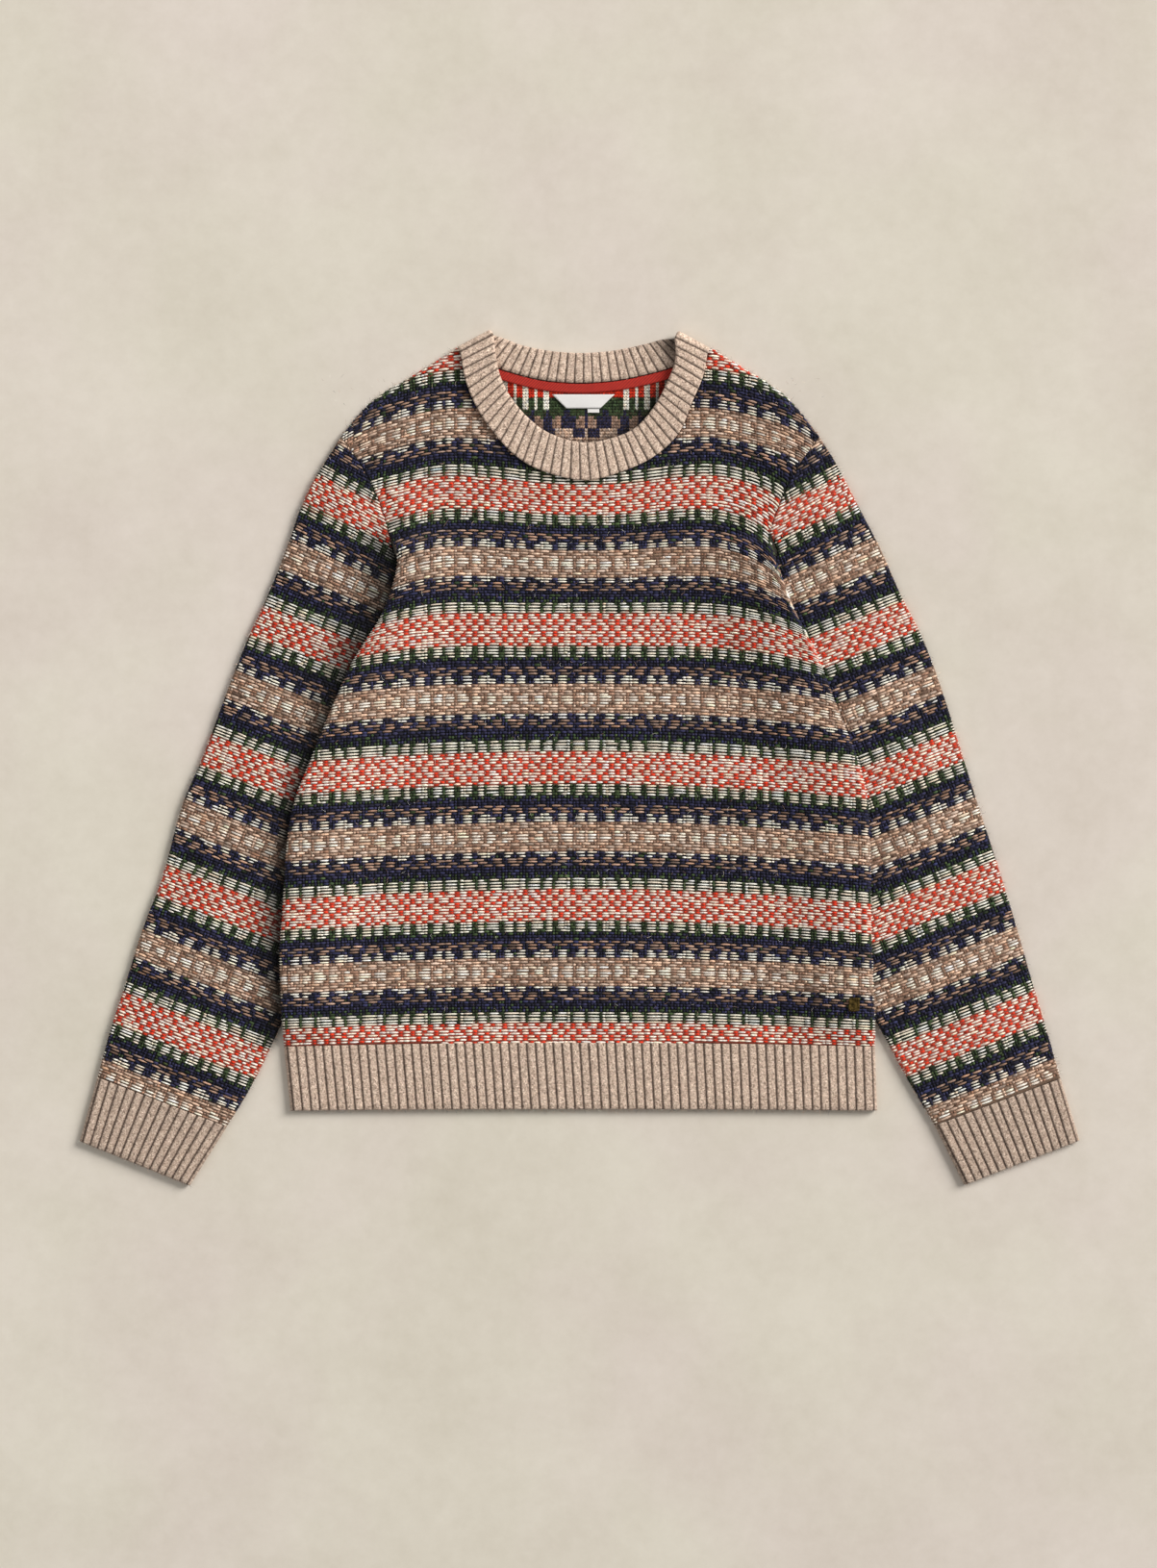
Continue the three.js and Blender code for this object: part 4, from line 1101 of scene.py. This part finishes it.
def tubeLoops(outerPoint, innerPoint, bend, heights, stations, rises, form):
    # One ring: plan points of its two edges, face heights at the stations, then arcs, foot and slit
    footParts, slitParts, wall, radius = form["footParts"], form["slitParts"], form["wall"], form["radius"]
    across = innerPoint - outerPoint
    width = np.linalg.norm(across)
    across = across / width
    normal = np.array([-across[1], across[0]])

    def place(distance, z):
        part = distance / width
        plan = outerPoint + across * distance[:, None] + normal * bowed(bend, part)[:, None]
        return np.column_stack([plan, z])

    flat = width - 2 * radius
    top = place(radius + stations * flat, heights + rises)
    angles = np.linspace(-arcs["half"], arcs["half"], arcs["steps"]) * math.pi / 180
    highArc = place(width - radius + radius * np.cos(angles), radius - radius * np.sin(angles))
    footLine = np.linspace(1, 0, footParts + 1)
    base = place(radius + flat * footLine, np.full(footParts + 1, form["foot"]))
    lowArc = place(radius - radius * np.cos(angles), radius + radius * np.sin(angles))
    slitLine = np.linspace(0, 1, slitParts + 1)
    slitStart = wall + form["slitIn"]
    slitWidth = width - 2 * slitStart
    slitTop = place(slitStart + slitLine * slitWidth, np.interp(slitLine, stations, heights) - wall)
    slitBase = place(slitStart + slitLine[::-1] * slitWidth, np.full(slitParts + 1, wall))
    return np.vstack([top, highArc, base, lowArc, slitTop, slitBase])


def tubeKeys(stations, form):
    # How far round its loop each point lies: the face 0 to 1, an arc, the foot, and an arc up to 2
    arc = np.arange(arcs["steps"]) * 0.018
    footLine = np.linspace(0, 1, form["footParts"] + 1)
    outerKeys = np.concatenate([stations, 1.01 + arc, 1.1 + 0.8 * footLine, 1.91 + arc])
    slitLine = np.linspace(0, 1, form["slitParts"] + 1)
    innerKeys = np.concatenate([0.01 + 0.98 * slitLine, 1.1 + 0.8 * slitLine])
    return outerKeys, innerKeys


def sleeveShell(side):
    look = {
        "rings": 190, "across": 26, "under": 1.1, "bow": 1.12, "bowEnd": 0.16,
        "footParts": 22, "slitParts": 10, "wall": 1.5, "foot": 0.05, "slitIn": 0.4,
        "radius": sleeve["round"] - 0.35,
    }
    shape = sleeveFrames[side]
    outer = spaced(shape["outerLine"], look["rings"])
    marks = np.linspace(0, 1, len(shape["outerLine"]))
    lengths = lengthsAlong(shape["outerLine"])
    parts = np.interp(np.linspace(0, lengths[-1], look["rings"]), lengths, marks)
    inner = pickedAt(shape["innerLine"], marks, parts)
    stations = np.linspace(0, 1, look["across"])
    rings = []
    for k in range(look["rings"]):
        bend = body["armholeBow"] * look["bow"] * (1 - easeBetween(parts[k], 0, look["bowEnd"]))
        flatPoints = mix(outer[k], inner[k], stations[:, None])
        heights = sleeveFace(shape, flatPoints @ alongStripe, flatPoints @ downSleeve) - look["under"]
        rings.append(tubeLoops(outer[k], inner[k], bend, heights, stations, 0, look))
    points = np.vstack(rings)
    outerKeys, innerKeys = tubeKeys(stations, look)
    faces = tubeFaces(look["rings"], outerKeys, innerKeys)
    plan = points[:, :2]
    # Painted shade between the strands, made less dark on the underside
    tints = strandShadeTint(sleeveRow(shape, plan @ downSleeve))
    low = points[:, 2] < 1
    tints[low] = undersideTint(tints[low])
    points = points * [shape["mirror"], 1, 1]
    # Painted shade beside the body
    tints *= paintedShadeBesideBody(points[:, 0], points[:, 1])[:, None]
    if shape["mirror"] > 0:
        faces = faces[:, ::-1]
    return makePiece("sleeveShell" + side.title(), points, faces, tints, strandedWool, ["sleeve_" + side])


sleeveShells = {side: sleeveShell(side) for side in ("left", "right")}
sleeveStitches = {side: laySleeve(side) for side in ("left", "right")}
print("sleeves made")


# Ribs

ribbing = {
    "height": 5.3, "rise": 0.9, "perRib": 10, "step": 1.15, "groove": 0.105, "ripple": 0.1, "slant": 6,
    "edgeStart": 0.93, "edgeShare": 0.5, "edgeDrop": 0.8, "wall": 1.6, "foot": 0.05, "slitIn": 0.4,
    "crest": 0xCBB8A8, "valley": 0x36261E, "power": 1.5, "marl": 0.16, "plain": 0.9,
}
# Painted shade: the grooves between ribs are coloured dark, the crests keep the marl's own colour
ribCrestColour = toLinear(ribbing["crest"])
ribGrooveShadeColour = toLinear(ribbing["valley"])


def ribProfile(place, groove):
    # 0 in a groove, 1 over the crest; place counts ribs
    away = np.abs(place - np.round(place))
    return 1 - np.exp(-((away / groove) ** 2))


def ribTints(profile, tone, seed):
    chance = np.random.default_rng(seed)
    # Painted shade: darker towards each groove, after the rib profile; the marl differs at random
    light = profile[..., None]
    tint = mix(ribGrooveShadeColour, ribCrestColour * tone, light ** ribbing["power"])
    return tint * (1 + chance.normal(0, ribbing["marl"], profile.shape)[..., None])


def ribbedTube(name, node, seam, edge, bows, look, mirrored):
    # Seam and edge are each an outer and an inner plan point; bows are how far the two lines bow
    form = {**ribbing, **look, "radius": ribbing["height"] / 2}
    length = np.linalg.norm(edge[0] - seam[0])
    ringCount = int(round(length / ribbing["step"])) + 1
    ribs = look["ribs"]
    count = ribs * ribbing["perRib"]
    stations = np.linspace(0, 1, count + 1)
    profile = ribProfile(stations * ribs, ribbing["groove"])
    waves = np.abs((stations * ribs) % 1 - 0.5) * ribbing["slant"]
    rings = []
    for k in range(ringCount):
        part = k / (ringCount - 1)
        end = 1 - easeBetween(part, ribbing["edgeStart"], 1) * ribbing["edgeShare"]
        ripple = ribbing["ripple"] * np.sin(k * math.pi + waves) * profile
        rises = profile * ribbing["rise"] * end + ripple - ribbing["ripple"]
        heights = np.full(count + 1, ribbing["height"] - (1 - end) * ribbing["edgeDrop"])
        rings.append(tubeLoops(mix(seam[0], edge[0], part), mix(seam[1], edge[1], part), mix(*bows, part),
                               heights, stations, rises, form))
    points = np.vstack(rings)
    outerKeys, innerKeys = tubeKeys(stations, form)
    faces = tubeFaces(ringCount, outerKeys, innerKeys)
    if not mirrored:
        faces = faces[:, ::-1]
    shade = np.full((ringCount, len(outerKeys) + len(innerKeys)), ribbing["plain"])
    shade[:, : count + 1] = profile
    tints = ribTints(shade, look["tone"], ribs).reshape(-1, 3)
    return makePiece(name, points, faces, tints, marledWool, [node])


hem = {
    "left": -227.6, "right": 233.8, "y": -277.5, "bow": 1.2, "gap": 0.3, "inset": 0.5,
    "ribs": 66, "tone": 0.98, "footParts": 60, "slitParts": 30,
}
hemSeamX = body["left"][0] + hem["inset"], body["right"][0] - hem["inset"]
hemSeam = np.array([(x, body["sideY"][0] - hem["gap"]) for x in hemSeamX])
hemEdge = np.array([(hem["left"], hem["y"]), (hem["right"], hem["y"])])
hemPiece = ribbedTube("hemRibbing", "hem_rib", hemSeam, hemEdge, (body["hemBow"], hem["bow"]), hem, False)

cuffs = {
    "left": (-393.5, -301.5, -306.8, -336.5), "right": (393, -301, 302.3, -336),
    "gap": 0.3, "ribs": 14, "tone": 0.84, "footParts": 16, "slitParts": 8,
}


def cuffPiece(side):
    row = np.array(sleeveTable[side][-1], float).reshape(2, 2)
    edge = np.array(cuffs[side], float).reshape(2, 2)
    along = (edge[0] - row[0]) / np.linalg.norm(edge[0] - row[0])
    seam = row + along * cuffs["gap"]
    name = "cuffRibbing" + side.title()
    return ribbedTube(name, "cuff_" + side, seam, edge, (0, 0), cuffs, side == "right")


cuffPieces = {side: cuffPiece(side) for side in ("left", "right")}
print("hem and cuffs made")


# Neckband: a double ring of rib that turns over at both shoulders

band = {
    "thick": 4, "seamTop": 5, "front": 39, "back": 26, "fold": 9, "perRib": 9, "rise": 0.8, "groove": 0.09,
    "ripple": 0.08, "ripples": 13, "tone": 1.06, "foldShade": 0.8, "foldReach": 34,
    "low": -0.012, "high": 0.9, "bendFrom": 0.93, "bendReach": 0.06, "bendAngle": 70,
    "lineSteps": 24, "outerSteps": 22, "bendSteps": 6, "innerSteps": 8,
}


def bandSections(table, ribs, seamHeights, freeHeights, facing):
    # Sections across the band, even steps apart: seam point, free point, rib profile, facing, outward
    seam = throughPoints(np.column_stack([table[:, :2], seamHeights]), band["lineSteps"])
    free = throughPoints(np.column_stack([table[:, 2:4], freeHeights]), band["lineSteps"])
    count = ribs * band["perRib"] + 1
    lengths = lengthsAlong((seam + free) / 2)
    wanted = np.linspace(0, lengths[-1], count)
    seam, free = pickedAt(seam, lengths, wanted), pickedAt(free, lengths, wanted)
    profile = ribProfile(np.linspace(0, ribs, count), band["groove"])
    return [(seam[k], free[k], profile[k], facing, np.zeros(3)) for k in range(count)]


def turnOver(lower, upper):
    # Sections round the fold between the back half and the front half of the band
    along = lower[1] - lower[0]
    along[2] = 0
    along = along / np.linalg.norm(along)
    outward = np.array([-along[1], along[0], 0])
    if outward[1] < 0:
        outward = -outward
    turned = []
    for k in range(1, band["fold"]):
        facing = math.pi * k / band["fold"]
        spots = []
        for low, high in zip(lower[:2], upper[:2]):
            radius = (high[2] - low[2]) / 2
            spot = low + outward * math.sin(facing) * radius
            spot[2] = low[2] + radius * (1 + math.cos(facing))
            spots.append(spot)
        turned.append((*spots, 1.0, facing, outward))
    return turned


def bandOutline():
    # One section's outline: how far from seam to free edge, and 1 on its outer face, -1 on its inner
    angles = np.radians(np.linspace(band["bendAngle"], -band["bendAngle"], band["bendSteps"]))
    outer = [(part, 1.0) for part in np.linspace(band["low"], band["high"], band["outerSteps"])]
    bend = [(band["bendFrom"] + band["bendReach"] * math.cos(a), math.sin(a)) for a in angles]
    inner = [(part, -1.0) for part in np.linspace(band["high"], band["low"], band["innerSteps"])]
    return np.array(outer + bend + inner)


def neckBand():
    half = band["thick"] / 2
    frontHeights = bandFront[:, 4] + half
    atSeam = np.minimum(frontHeights, band["seamTop"] + half)  # the seam stays down on the cloth
    backHeights = np.full(len(bandBack), half)
    frontPart = bandSections(bandFront, band["front"], atSeam, frontHeights, 0)
    backPart = bandSections(bandBack, band["back"], backHeights, backHeights, math.pi)
    rightFold = turnOver(backPart[0], frontPart[-1])
    leftFold = turnOver(backPart[-1], frontPart[0])[::-1]
    ring = frontPart + rightFold + backPart + leftFold
    foldEnd = len(frontPart) + len(rightFold)
    foldMiddle = (len(frontPart) + foldEnd) / 2
    outline = bandOutline()
    side = outline[:, 1]
    ripple = band["ripple"] * np.sin(outline[:, 0] * band["ripples"] * 2 * math.pi)
    points = []
    profiles = []
    shades = []
    for count, (seam, free, profile, facing, outward) in enumerate(ring):
        turn = (1 + math.cos(facing)) / 2
        normal = np.array([0, 0, math.cos(facing)]) + outward * math.sin(facing)
        seen = np.where(side > 0, turn, 1 - turn)
        rise = (profile * band["rise"] + ripple * profile) * seen * np.abs(side)
        reach = side * half + np.sign(side) * rise
        points.append(seam + (free - seam) * outline[:, :1] + normal * reach[:, None])
        profiles.append(np.full(len(outline), float(profile)))
        # Painted shade: the back half is darkened beside the right fold, which shades it
        turnedUnder = float(easeBetween(count, foldMiddle, foldEnd))
        past = max(0, count - foldEnd) / band["foldReach"]
        shades.append(1 - band["foldShade"] * turnedUnder * math.exp(-past**2))
    points = np.vstack(points)
    points[:, 2] = np.maximum(points[:, 2], ribbing["foot"])
    tints = ribTints(np.array(profiles), band["tone"], seeds["band"]) * np.array(shades)[:, None, None]
    at = np.arange(len(ring))[:, None] * len(outline) + np.arange(len(outline))
    atNext = np.roll(at, -1, axis=0)
    quads = np.stack([at, atNext, np.roll(atNext, -1, axis=1), np.roll(at, -1, axis=1)], axis=-1)
    return makePiece("neckRibbing", points, quads.reshape(-1, 4), tints.reshape(-1, 3), marledWool,
                     ["neckband"])


neckPiece = neckBand()
print("neckband made")


# Inside of the back neck: the knit side, each stitch a V

insideNeck = {
    "low": 190, "high": 230, "columns": 40, "face": 0.1, "tapeRow": 216, "underBand": 9, "underSeam": 1.5,
    "rightShade": 0.65, "rightReach": 18, "leftShade": 0.4, "leftReach": 7, "dim": 0.92,
    "legTop": 0.95, "legFoot": -0.1,
}
vLegs = ((0.06, 0.48), (0.94, 0.52))  # top and foot of each leg of a V, in parts of a stitch
insideForm = {
    "along": [0, 0.3, 0.7, 1], "half": [0.14, 0.27, 0.27, 0.16], "crest": [-0.4, 0.35, 0.4, -0.3],
    "side": [-0.7, -0.4, -0.4, -0.7], "gap": 0.02, "draw": 0, "tilt": 0, "slip": 0,
}


def onBack(columns, rows, rise):
    x = knit["middle"] + columns * knit["stitch"]
    y = rowHeight(rows)
    return np.column_stack([x, y, liftAt(x, y) + body["wall"] + insideNeck["face"] + rise])


insideLines = {  # the knit side, read from the middle outward
    "red": "rrrrrrrrrrrrrccrrcrrccrrc",
    "green": "gggggggggggggccggcggccggc",
    "plain": "ngggggnngggggnggggnggggng",
    "navy": "nbbbnnnnnbbbnnnbbbnnnbbbn",
    "dark": "nbbgnnnnnbbgnnngbbnnngbbn",
    "blocks": "tnnnnttttttnnnnttttnnnntt",
    "tweed": "tbttbttbtttbttbttbttbttbt",
}
insideRows = (  # from the tape downward
    ["red"] * 2 + ["green"] * 4 + ["plain"] * 2 + ["dark"] + ["navy"] * 3 + ["blocks"] * 3 + ["tweed"] * 30
)


def insideYarn(row, column):
    fromTop = max(insideNeck["tapeRow"] - row, 0)
    return letterAt(insideLines[insideRows[fromTop]], column)


def layInside():
    starts, ends, letters = [], [], []
    for row in range(insideNeck["low"], insideNeck["high"]):
        for column in range(-insideNeck["columns"], insideNeck["columns"]):
            x = knit["middle"] + (column + 0.5) * knit["stitch"]
            y = float(rowHeight(np.array(row + 0.5)))
            backSeamY = np.interp(x, bandBack[::-1, 0], bandBack[::-1, 1])
            if outsideNeck(x, y, -insideNeck["underBand"]) or y > backSeamY - insideNeck["underSeam"]:
                continue
            for top, foot in vLegs:
                starts.append((column + top, row + insideNeck["legTop"]))
                ends.append((column + foot, row + insideNeck["legFoot"]))
                letters.append(insideYarn(row, column))
    points, faces, tints = layRuns(starts, ends, letters, onBack, insideForm, seeds["inside"])
    inner = throughPoints(bandFront[:, 2:4])
    foot = np.argmin(inner[:, 1])
    leftGap = points[:, 0] - np.interp(points[:, 1], inner[: foot + 1, 1][::-1], inner[: foot + 1, 0][::-1])
    rightGap = np.interp(points[:, 1], inner[foot:, 1], inner[foot:, 0]) - points[:, 0]
    # Painted shade: the inside is darkened all over, and more beside the front band's inner edges, which
    # shade it
    shade = np.full(len(points), insideNeck["dim"])
    for side, gap in (("right", rightGap), ("left", leftGap)):
        away = np.maximum(gap, 0) / insideNeck[side + "Reach"]
        shade *= 1 - insideNeck[side + "Shade"] * np.exp(-(away**2))
    tints *= shade[:, None]
    print("inside stitches laid:", len(letters))
    return makePiece("insideNeckStitches", points, faces, tints, strandedWool)


insidePiece = layInside()


# Loose fibres: the nap of carded wool, at the outline and over the face

nap = {
    "width": 0.14, "short": 1.5, "long": 4.5, "bend": 0.5, "atEdge": 1.1, "innerEnd": 60, "atHem": 420,
    "onFace": 2600, "x": 215, "low": -215, "high": 300, "off": 0.8, "neckGap": 3, "sideGap": 8,
    "edgeZ": (2, 5), "hemZ": (1.5, 4.5), "widths": (1, 0.9, 0.7, 0.3), "droop": 0.1,
}


def layFibres():
    chance = np.random.default_rng(seeds["fibres"])
    spots = []
    for side in ("left", "right"):
        shape = sleeveFrames[side]
        seam = edges[side][edges[side][:, 1] > body["tipY"]]
        cuff = np.array(cuffs[side], float).reshape(2, 2)
        outer = shape["outerLine"] * [shape["mirror"], 1]
        inner = shape["innerLine"][-nap["innerEnd"]:] * [shape["mirror"], 1]
        for line in (outer, inner, seam, cuff):
            picked = spaced(line, int(lengthsAlong(line)[-1] * nap["atEdge"]) + 2)
            spots.append(np.column_stack([picked, chance.uniform(*nap["edgeZ"], len(picked))]))
    foot = spaced(hemEdge, nap["atHem"])
    spots.append(np.column_stack([foot, chance.uniform(*nap["hemZ"], len(foot))]))
    x = chance.uniform(-nap["x"], nap["x"], nap["onFace"])
    y = chance.uniform(nap["low"], nap["high"], nap["onFace"])
    free = outsideNeck(x, y, nap["neckGap"]) & (sideDistance(x, y) > nap["sideGap"])
    spots.append(np.column_stack([x, y, frontFace(x, y) + nap["off"]])[free])
    start = np.vstack(spots)
    count = len(start)
    heading = chance.uniform(0, 2 * math.pi, count)
    turn = chance.uniform(-nap["bend"], nap["bend"], count)
    length = chance.uniform(nap["short"], nap["long"], count)
    points = []
    spot = start
    for step, width in enumerate(nap["widths"]):
        across = np.column_stack([-np.sin(heading), np.cos(heading), np.zeros(count)])
        across = across * nap["width"] * width / 2
        points += [spot - across, spot + across]
        climb = nap["droop"] - nap["droop"] * step
        along = np.column_stack([np.cos(heading), np.sin(heading), np.full(count, climb)])
        spot = spot + along * (length / 3)[:, None]
        heading = heading + turn
    each = len(points)
    points = np.stack(points, axis=1)
    quads = np.array([(a, a + 2, a + 3, a + 1) for a in range(0, each - 2, 2)])
    faces = (quads[None] + (np.arange(count) * each)[:, None, None]).reshape(-1, 4)
    letters = chance.choice(list("ctbmn"), count)
    tints = np.repeat(shadeYarns(letters, seeds["fibreTints"])[:, None], each, axis=1).reshape(-1, 3)
    print("loose fibres laid:", count)
    return makePiece("looseFibres", points.reshape(-1, 3), faces, tints, strandedWool)


fibrePiece = layFibres()


# Tape, label, tab and tag

def plate(name, node, lines, z, thick, material):
    # A thin closed plate from lines of plan points that run across
    grid = np.array(lines)
    rows, columns = grid.shape[:2]
    plan = grid.reshape(-1, 2)
    at = np.arange(rows * columns).reshape(rows, columns)
    base = z(plan[:, 0], plan[:, 1])
    face = np.column_stack([plan, base + thick])
    points, faces = closeWall(face, np.column_stack([plan, base]), gridQuads(at))
    return makePiece(name, points, faces, None, material, [node])


tape = {
    "middle": 3, "half": 80, "drop": 1.2, "tall": 7.2, "thick": 1.0, "gap": 0.35,
    "seamSteps": 400, "steps": 90, "lines": 7,
}


def tapePiece():
    seam = spaced(throughPoints(bandBack[:, :2]), tape["seamSteps"])
    seam = seam[np.abs(seam[:, 0] - tape["middle"]) < tape["half"]][::-1]
    line = spaced(seam, tape["steps"])
    parts = np.linspace(0, 1, tape["lines"])
    lines = [movedIn(line, -(tape["drop"] + tape["tall"] * (1 - part))) for part in parts]

    def height(x, y):
        return np.full_like(x, body["wall"] + tape["gap"])

    return plate("neckTape", "neck_tape", lines, height, tape["thick"], cottonTwill)


label = {
    "topLeft": -22, "topRight": 27.3, "footLeft": -10.6, "footRight": 16, "top": 285.6, "foot": 274.6,
    "lift": 0.75, "thick": 0.5, "wave": 0.25, "waveLength": 6.0, "curl": 0.25, "curlLength": 9,
    "lines": 10, "across": 24,
}
tab = {  # waves and curls as the label does
    **label, "topLeft": 6, "topRight": 15.2, "footLeft": 6, "footRight": 15.2, "top": 274.2, "foot": 271.2,
    "lift": 0.6,
}


def labelPiece(name, node, shape):
    top = shape["top"]
    lines = []
    for part in np.linspace(0, 1, shape["lines"]):
        y = mix(shape["foot"], top, part)
        left = np.array([mix(shape["footLeft"], shape["topLeft"], part), y])
        right = np.array([mix(shape["footRight"], shape["topRight"], part), y])
        lines.append(mix(left, right, np.linspace(0, 1, shape["across"])[:, None]))

    def height(x, y):
        # It waves more towards its foot and lifts off the tape below its top
        wave = shape["wave"] * np.sin(x / shape["waveLength"]) * easeBetween(y, top, shape["foot"])
        curl = shape["curl"] * easeBetween(top - y, 0, shape["curlLength"])
        return body["wall"] + shape["lift"] + wave + curl

    return plate(name, node, lines, height, shape["thick"], wovenSatin)


tapeObject = tapePiece()
labelObject = labelPiece("neckLabel", "neck_label", label)
tabObject = labelPiece("sizeTab", "size_tab", tab)

tag = {
    "x": 214.8, "y": -193.6, "wide": 8.4, "tall": 10.6, "thick": 1.4, "gap": 0.5, "round": 1.1,
    "bevel": 0.35, "rim": 1.1, "floor": 1.4, "sunk": 0.3, "steps": 32,
}


def tagPiece():
    angles = np.linspace(0, 2 * math.pi, tag["steps"] + 1)[:-1]
    quarter = np.floor(angles / (math.pi / 2) + 1e-9).astype(int)
    signs = np.array([(1, 1), (-1, 1), (-1, -1), (1, -1)])[quarter]
    core = signs * [tag["wide"] / 2 - tag["round"], tag["tall"] / 2 - tag["round"]]
    rim = core + tag["round"] * np.stack([np.cos(angles), np.sin(angles)], axis=1)
    base = float(frontFace(np.array(tag["x"]), np.array(tag["y"]))) + tag["gap"]
    rings = []
    sunkTop = tag["thick"] - tag["sunk"]
    for inset, z in ((0, 0), (0, tag["thick"] - tag["bevel"]), (tag["bevel"], tag["thick"]),
                     (tag["rim"], tag["thick"]), (tag["floor"], sunkTop)):
        scale = 1 - 2 * inset / np.array([tag["wide"], tag["tall"]])
        rings.append(np.column_stack([rim * scale + [tag["x"], tag["y"]], np.full(len(rim), base + z)]))
    count = len(rim)
    middle = [(tag["x"], tag["y"], base), (tag["x"], tag["y"], base + sunkTop)]
    points = np.vstack(rings + [middle])
    faces = []
    for k in range(len(rings) - 1):
        faces += ringTriangles(k * count, count, count)
    nextOne = (np.arange(count) + 1) % count
    last = (len(rings) - 1) * count
    centre = len(rings) * count
    faces.append(np.column_stack([nextOne, np.arange(count), np.full(count, centre)]))
    faces.append(np.column_stack([last + np.arange(count), last + nextOne, np.full(count, centre + 1)]))
    piece = makePiece("hemTag", points, np.vstack(faces), None, agedBrass, ["hem_tag"])
    piece.data.polygons.foreach_set("use_smooth", np.zeros(len(piece.data.polygons), bool))
    return piece


tagPiece()
print("tape, label, tab and tag made")


# Stage, light and camera

def plasterMaterial():
    # Painted plaster: matt, faintly mottled
    material, tree, place = newMaterial("palePlaster")
    cloud = addNode(
        tree, "ShaderNodeTexNoise", {"Scale": 6.0, "Detail": 9.0, "Roughness": 0.68},
        {"Vector": place}).outputs["Fac"]
    grain = addNode(
        tree, "ShaderNodeTexNoise", {"Scale": 70.0, "Detail": 4.0, "Roughness": 0.7},
        {"Vector": place}).outputs["Fac"]
    both = addNode(
        tree, "ShaderNodeMix", {"data_type": "FLOAT", 0: 0.3}, {2: cloud, 3: grain}).outputs[0]
    paint = addNode(
        tree, "ShaderNodeValToRGB", {"stops": [(0.3, toLinear(0xD3CBBF)), (0.62, toLinear(0xE1DAD0))]},
        {"Fac": both}).outputs["Color"]
    patches = addNode(
        tree, "ShaderNodeTexNoise", {"Scale": 4.0, "Detail": 3.0}, {"Vector": place}).outputs["Fac"]
    warmth = addNode(
        tree, "ShaderNodeValToRGB", {"stops": [(0.4, (0.985, 1.0, 0.965)), (0.6, (1.0, 0.985, 0.99))]},
        {"Fac": patches}).outputs["Color"]
    stained = addNode(
        tree, "ShaderNodeMix", {"data_type": "RGBA", "blend_type": "MULTIPLY", 0: 1.0},
        {6: paint, 7: warmth}).outputs[2]
    plaster = addNode(
        tree, "ShaderNodeBsdfPrincipled", {"Roughness": 0.95, "IOR": 1.5, "Specular IOR Level": 0.1},
        {"Base Color": stained})
    addNode(tree, "ShaderNodeOutputMaterial", None, {"Surface": plaster.outputs["BSDF"]})
    return material


floorForm = {"half": 2.5, "z": -0.0002}  # in metres, just below the cloth
floorCorners = [
    (x * floorForm["half"], y * floorForm["half"], floorForm["z"])
    for x, y in ((-1, -1), (1, -1), (1, 1), (-1, 1))
]
floorMesh = bpy.data.meshes.new("floor")
floorMesh.from_pydata(floorCorners, [], [(0, 1, 2, 3)])
floorMesh.materials.append(plasterMaterial())
floor = bpy.data.objects.new("floor", floorMesh)
bpy.context.scene.collection.objects.link(floor)


def areaLight(name, place, target, size, power, colour):
    lamp = bpy.data.lights.new(name, "AREA")
    lamp.energy = power
    lamp.size = size
    lamp.color = colour
    thing = bpy.data.objects.new(name, lamp)
    bpy.context.scene.collection.objects.link(thing)
    thing.location = place
    aim = np.array(target) - np.array(place)
    thing.rotation_euler = (
        math.atan2(math.hypot(aim[0], aim[1]), -aim[2]), 0, math.atan2(aim[0], -aim[1]) + math.pi)


# A large soft key high at the right and a weak fill over the left sleeve, in metres and watts
lights = {
    "softKey": {"place": (13.0, 8.4, 8.8), "target": (0, 0, 0), "size": 8.4, "power": 4050,
                "colour": (1.0, 0.97, 0.94)},
    "softFill": {"place": (-2.2, 0.2, 2.2), "target": (-0.4, 0, 0), "size": 2.0, "power": 14,
                 "colour": (1.0, 0.98, 0.97)},
}
for name, values in lights.items():
    areaLight(name, **values)

world = bpy.data.worlds.new("studio")
bpy.context.scene.world = world
world.use_nodes = True
world.node_tree.nodes["Background"].inputs["Color"].default_value = (1.0, 0.98, 0.95, 1)
world.node_tree.nodes["Background"].inputs["Strength"].default_value = 0.29

view = {"x": -0.0011, "y": -0.0208, "distance": 2.6, "lens": 75.8}
cameraData = bpy.data.cameras.new("overhead")
cameraData.sensor_width = 36
cameraData.lens = view["lens"]
camera = bpy.data.objects.new("overhead", cameraData)
camera.location = (view["x"], view["y"], view["distance"])
bpy.context.scene.collection.objects.link(camera)
bpy.context.scene.camera = camera
bpy.context.scene.view_settings.view_transform = "Standard"
print("stage, light and camera set")
